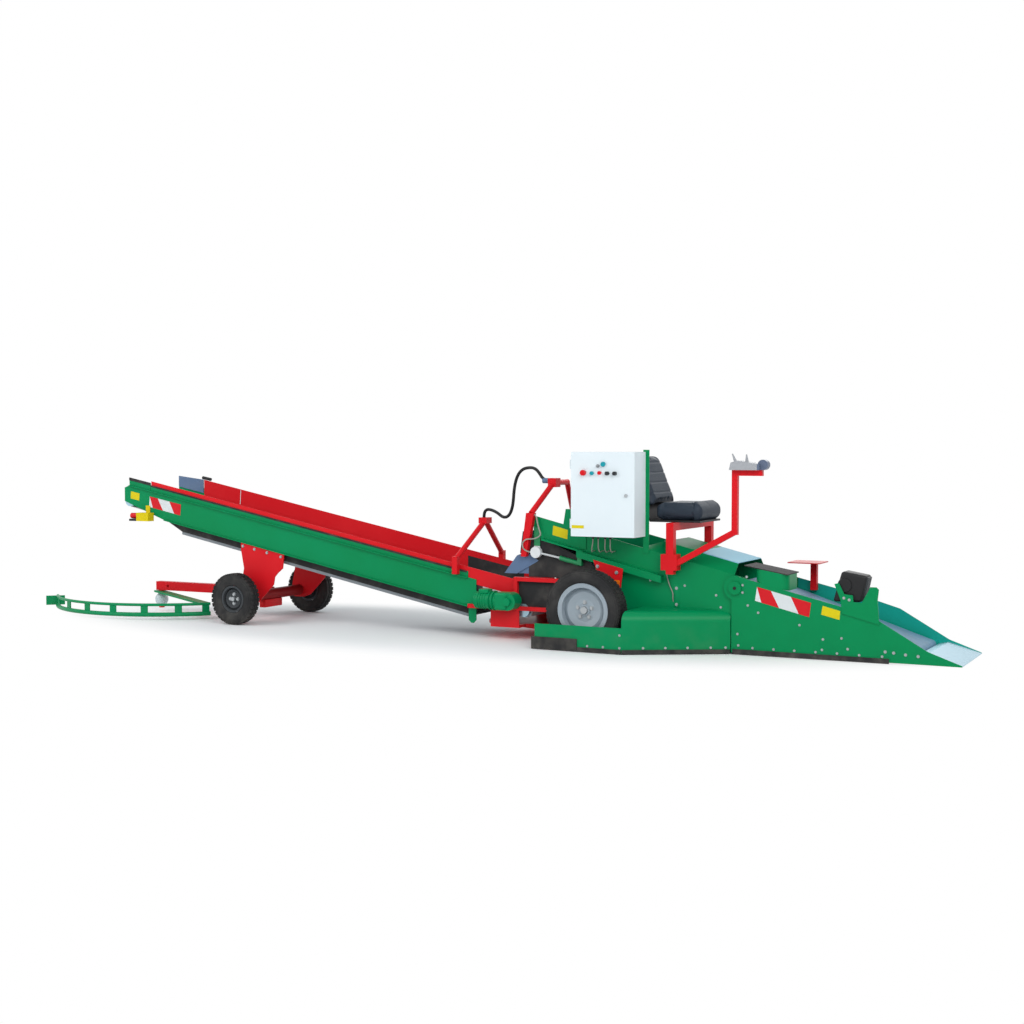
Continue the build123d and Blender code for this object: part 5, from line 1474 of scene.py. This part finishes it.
@dataclass
class Fittings:
    """Bolts, seam strips, motor flanges and other small trim, outlines in X and Z."""

    seam: Span = ((0.553, 0.3455, 0.304), (0.592, 0.3485, 0.468))
    seam_edge: float = 0.001
    reflector: Span = ((0.112, 0.4015, 0.425), (0.158, 0.406, 0.487))
    reflector_edge: float = 0.002
    pin: Span = ((1.012, 0.375, 0.464), (1.012, 0.3845, 0.464))
    pin_radius: float = 0.012
    motor_y: float = -0.451
    motor_z: float = 0.298
    motor_rings: Outline = (
        (-0.978, 0.064), (-0.955, 0.066), (-0.935, 0.066), (-0.915, 0.066), (-0.895, 0.066),
        (-0.86, 0.072), (-0.83, 0.074),
    )
    ring_half: float = 0.004
    terminal_box: Span = ((-0.95, -0.49, 0.352), (-0.87, -0.412, 0.384))
    terminal_edge: float = 0.006
    shaft_cap: Span = ((-0.706, -0.5, 0.298), (-0.706, -0.518, 0.298))
    shaft_cap_radius: float = 0.03
    edging: Outline = ((-4.436, 1.184), (-4.206, 1.1395), (-4.206, 1.1165), (-4.436, 1.161))
    edging_y: float = -0.352
    edging_thick: float = 0.012
    latch: Span = ((-4.215, 0.352, 1.172), (-4.125, 0.352, 1.156))
    latch_radius: float = 0.014
    lock: Span = ((0.055, -0.558, 1.309), (0.055, -0.57, 1.309))
    lock_radii: Tuple[float, float] = (0.013, 0.012)
    key: Span = ((0.044, -0.58, 1.306), (0.066, -0.569, 1.312))
    key_edge: float = 0.001
    gusset: Outline = (
        (-0.25, 0.80), (-0.25, 0.843), (-0.318, 0.857), (-0.296, 0.989), (-0.13, 0.989), (-0.13, 0.80),
    )
    gusset_y: float = -0.3465
    gusset_thick: float = 0.005
    gland: Span = ((-0.597, -0.11, 1.19), (-0.54, -0.11, 1.19))
    gland_radius: float = 0.02
    sheet: Outline = (
        (-0.60, 0.655), (-0.575, 0.80), (-0.52, 0.775), (-0.29, 0.685), (-0.10, 0.60), (-0.06, 0.565),
        (-0.06, 0.535), (-0.24, 0.505), (-0.34, 0.4785), (-0.60, 0.4785),
    )
    sheet_y: float = 0.3455
    sheet_thick: float = 0.004
    clamp: Span = ((-3.21, -0.17, 0.104), (-3.15, 0.07, 0.168))
    clamp_edge: float = 0.004
    joint: Outline = ((-3.803, 0.941), (-3.797, 0.941), (-3.789, 1.066), (-3.795, 1.066))
    joint_y: float = 0.3498
    joint_thick: float = 0.001

    def build(self) -> None:
        """Adds the trim."""
        for row in BOLT_ROWS:
            row.build()
        for name, body in DRIVE_WHEELS:
            HubFittings(name, body, face=0.6615, pitch=0.056, count=5, cap=0.03).build()
        for name, body in SMALL_WHEELS:
            HubFittings(name, body, face=0.546, pitch=0.036, count=4, cap=0.02).build()
        self._seams()
        self._motor()
        self._ends()
        self._sheets()
        self._linings()

    def _seams(self) -> None:
        """Cover strips on the wall panels, hinge pin ends and the reflectors."""
        strips, pins, discs = Piece("seam_strips"), Piece("hinge_pins"), Piece("wheel_reflectors")
        self._both_sides(strips, self.seam, self.seam_edge)
        self._both_sides(discs, self.reflector, self.reflector_edge)
        for side in (-1, 1):
            (x0, y0, z0), (x1, y1, z1) = self.pin
            pins.rod(at(x0, side * y0, z0), at(x1, side * y1, z1), self.pin_radius)
        strips.finish(GREEN, Body.CHASSIS, "green_paint")
        pins.finish(BLACK_PLASTIC, Body.SCOOP, "black_plastic")
        discs.finish(ORANGE, Body.CHASSIS, "yellow_plastic")

    @staticmethod
    def _both_sides(piece: Piece, corners: Span, edge: float) -> None:
        """Adds a box on the far side and its mirror on the near side.

        Args:
            piece: What they are added to.
            corners: The far box's lowest and highest corners.
            edge: The width of its rounded edges.
        """
        (x0, y0, z0), (x1, y1, z1) = corners
        for low_y, high_y in ((-y1, -y0), (y0, y1)):
            piece.box(at(x0, low_y, z0), at(x1, high_y, z1), edge)

    def _motor(self) -> None:
        """Flanges, fins and a terminal box on the conveyor's gearmotor."""
        piece = Piece("motor_flanges")
        y, z = self.motor_y, self.motor_z
        for x, radius in self.motor_rings:
            piece.rod(at(x - self.ring_half, y, z), at(x + self.ring_half, y, z), radius, 40)
        piece.box(*ends_of(self.terminal_box), self.terminal_edge)
        piece.rod(*ends_of(self.shaft_cap), self.shaft_cap_radius, 32)
        piece.finish(GREEN, Body.CONVEYOR, "green_paint")

    def _ends(self) -> None:
        """The end plate's edging, the far board's latch, the key switch, the gusset and the cable's gland."""
        edge = Piece("end_edging")
        edge.plate(on_face(self.edging, self.edging_y), Vector((0, -self.edging_thick, 0)))
        edge.finish(BLACK_RUBBER, Body.CONVEYOR, "black_rubber")
        latch = Piece("board_latch").rod(*ends_of(self.latch), self.latch_radius)
        latch.finish(BLACK_PLASTIC, Body.CONVEYOR, "black_plastic")
        foot, tip = self.lock_radii
        key = Piece("key_switch").rod(*ends_of(self.lock), foot, 24, tip)
        key.box(*ends_of(self.key), self.key_edge)
        key.finish(GREY, Body.DOOR, "bare_steel")
        fin = Piece("cabinet_gusset")
        fin.plate(on_face(self.gusset, self.gusset_y), Vector((0, -self.gusset_thick, 0)))
        fin.finish(GREEN, Body.CHASSIS, "green_paint")
        gland = Piece("cable_gland").rod(*ends_of(self.gland), self.gland_radius, 28)
        gland.finish(FLAP_RUBBER, Body.CHASSIS, "cable_jacket")

    def _sheets(self) -> None:
        """Rubber sheets that hang below the elevator's walls behind the take-up screws."""
        sheets = Piece("head_sheets")
        for side in (-1, 1):
            outline = on_face(self.sheet, side * self.sheet_y)
            sheets.plate(outline, Vector((0, -side * self.sheet_thick, 0)))
        sheets.finish(BLACK_RUBBER, Body.CHASSIS, "black_rubber")

    def _linings(self) -> None:
        """Painted shadow strips under the boards and beside the tray, linings along the conveyor, the bar
        under its axle and the far board's joint.
        """
        for strip in STRIPS:
            strip.build()
        bar = Piece("arm_clamp").box(*ends_of(self.clamp), self.clamp_edge)
        bar.finish(RED, Body.CONVEYOR, "red_paint")
        joint = Piece("board_joint")
        joint.plate(on_face(self.joint, self.joint_y), Vector((0, -self.joint_thick, 0)))
        joint.finish(WHITE_FILM, Body.CONVEYOR, "red_paint")


DRIVE_ROWS = (
    (-0.058, 0.022, 14.0), (-0.029, 0.022, -10.0), (0.0, 0.02, 10.0),
    (0.029, 0.022, -10.0), (0.058, 0.022, 14.0),
)
SMALL_ROWS = ((-0.033, 0.024, 0.0), (0.0, 0.022, 0.0), (0.033, 0.024, 0.0))
DRIVE_WHEELS = (("drive_near", Body.DRIVE_NEAR), ("drive_far", Body.DRIVE_FAR))
SMALL_WHEELS = (("small_near", Body.SMALL_NEAR), ("small_far", Body.SMALL_FAR))


def build_tyres() -> None:
    """Makes the four tyres."""
    for name, body in DRIVE_WHEELS:
        tread = Tread(
            name, body, radius=0.2875, width=0.17, rim=0.194, depth=0.005,
            rows=DRIVE_ROWS, count=60, gap=0.005,
        )
        tread.build()
    for name, body in SMALL_WHEELS:
        tread = Tread(
            name, body, radius=0.21, width=0.1, rim=0.11, depth=0.006,
            rows=SMALL_ROWS, count=34, gap=0.009,
        )
        tread.build()


def main() -> None:
    """Builds the dressed machine."""
    logging.basicConfig(level=logging.INFO, format="%(message)s")
    SHOP.dress_nodes()
    Studio().build()
    Wiring().build()
    build_tyres()
    Seat().build()
    Markings().build()
    Fittings().build()
    WorkLamp().build()


if __name__ == "__main__":
    main()
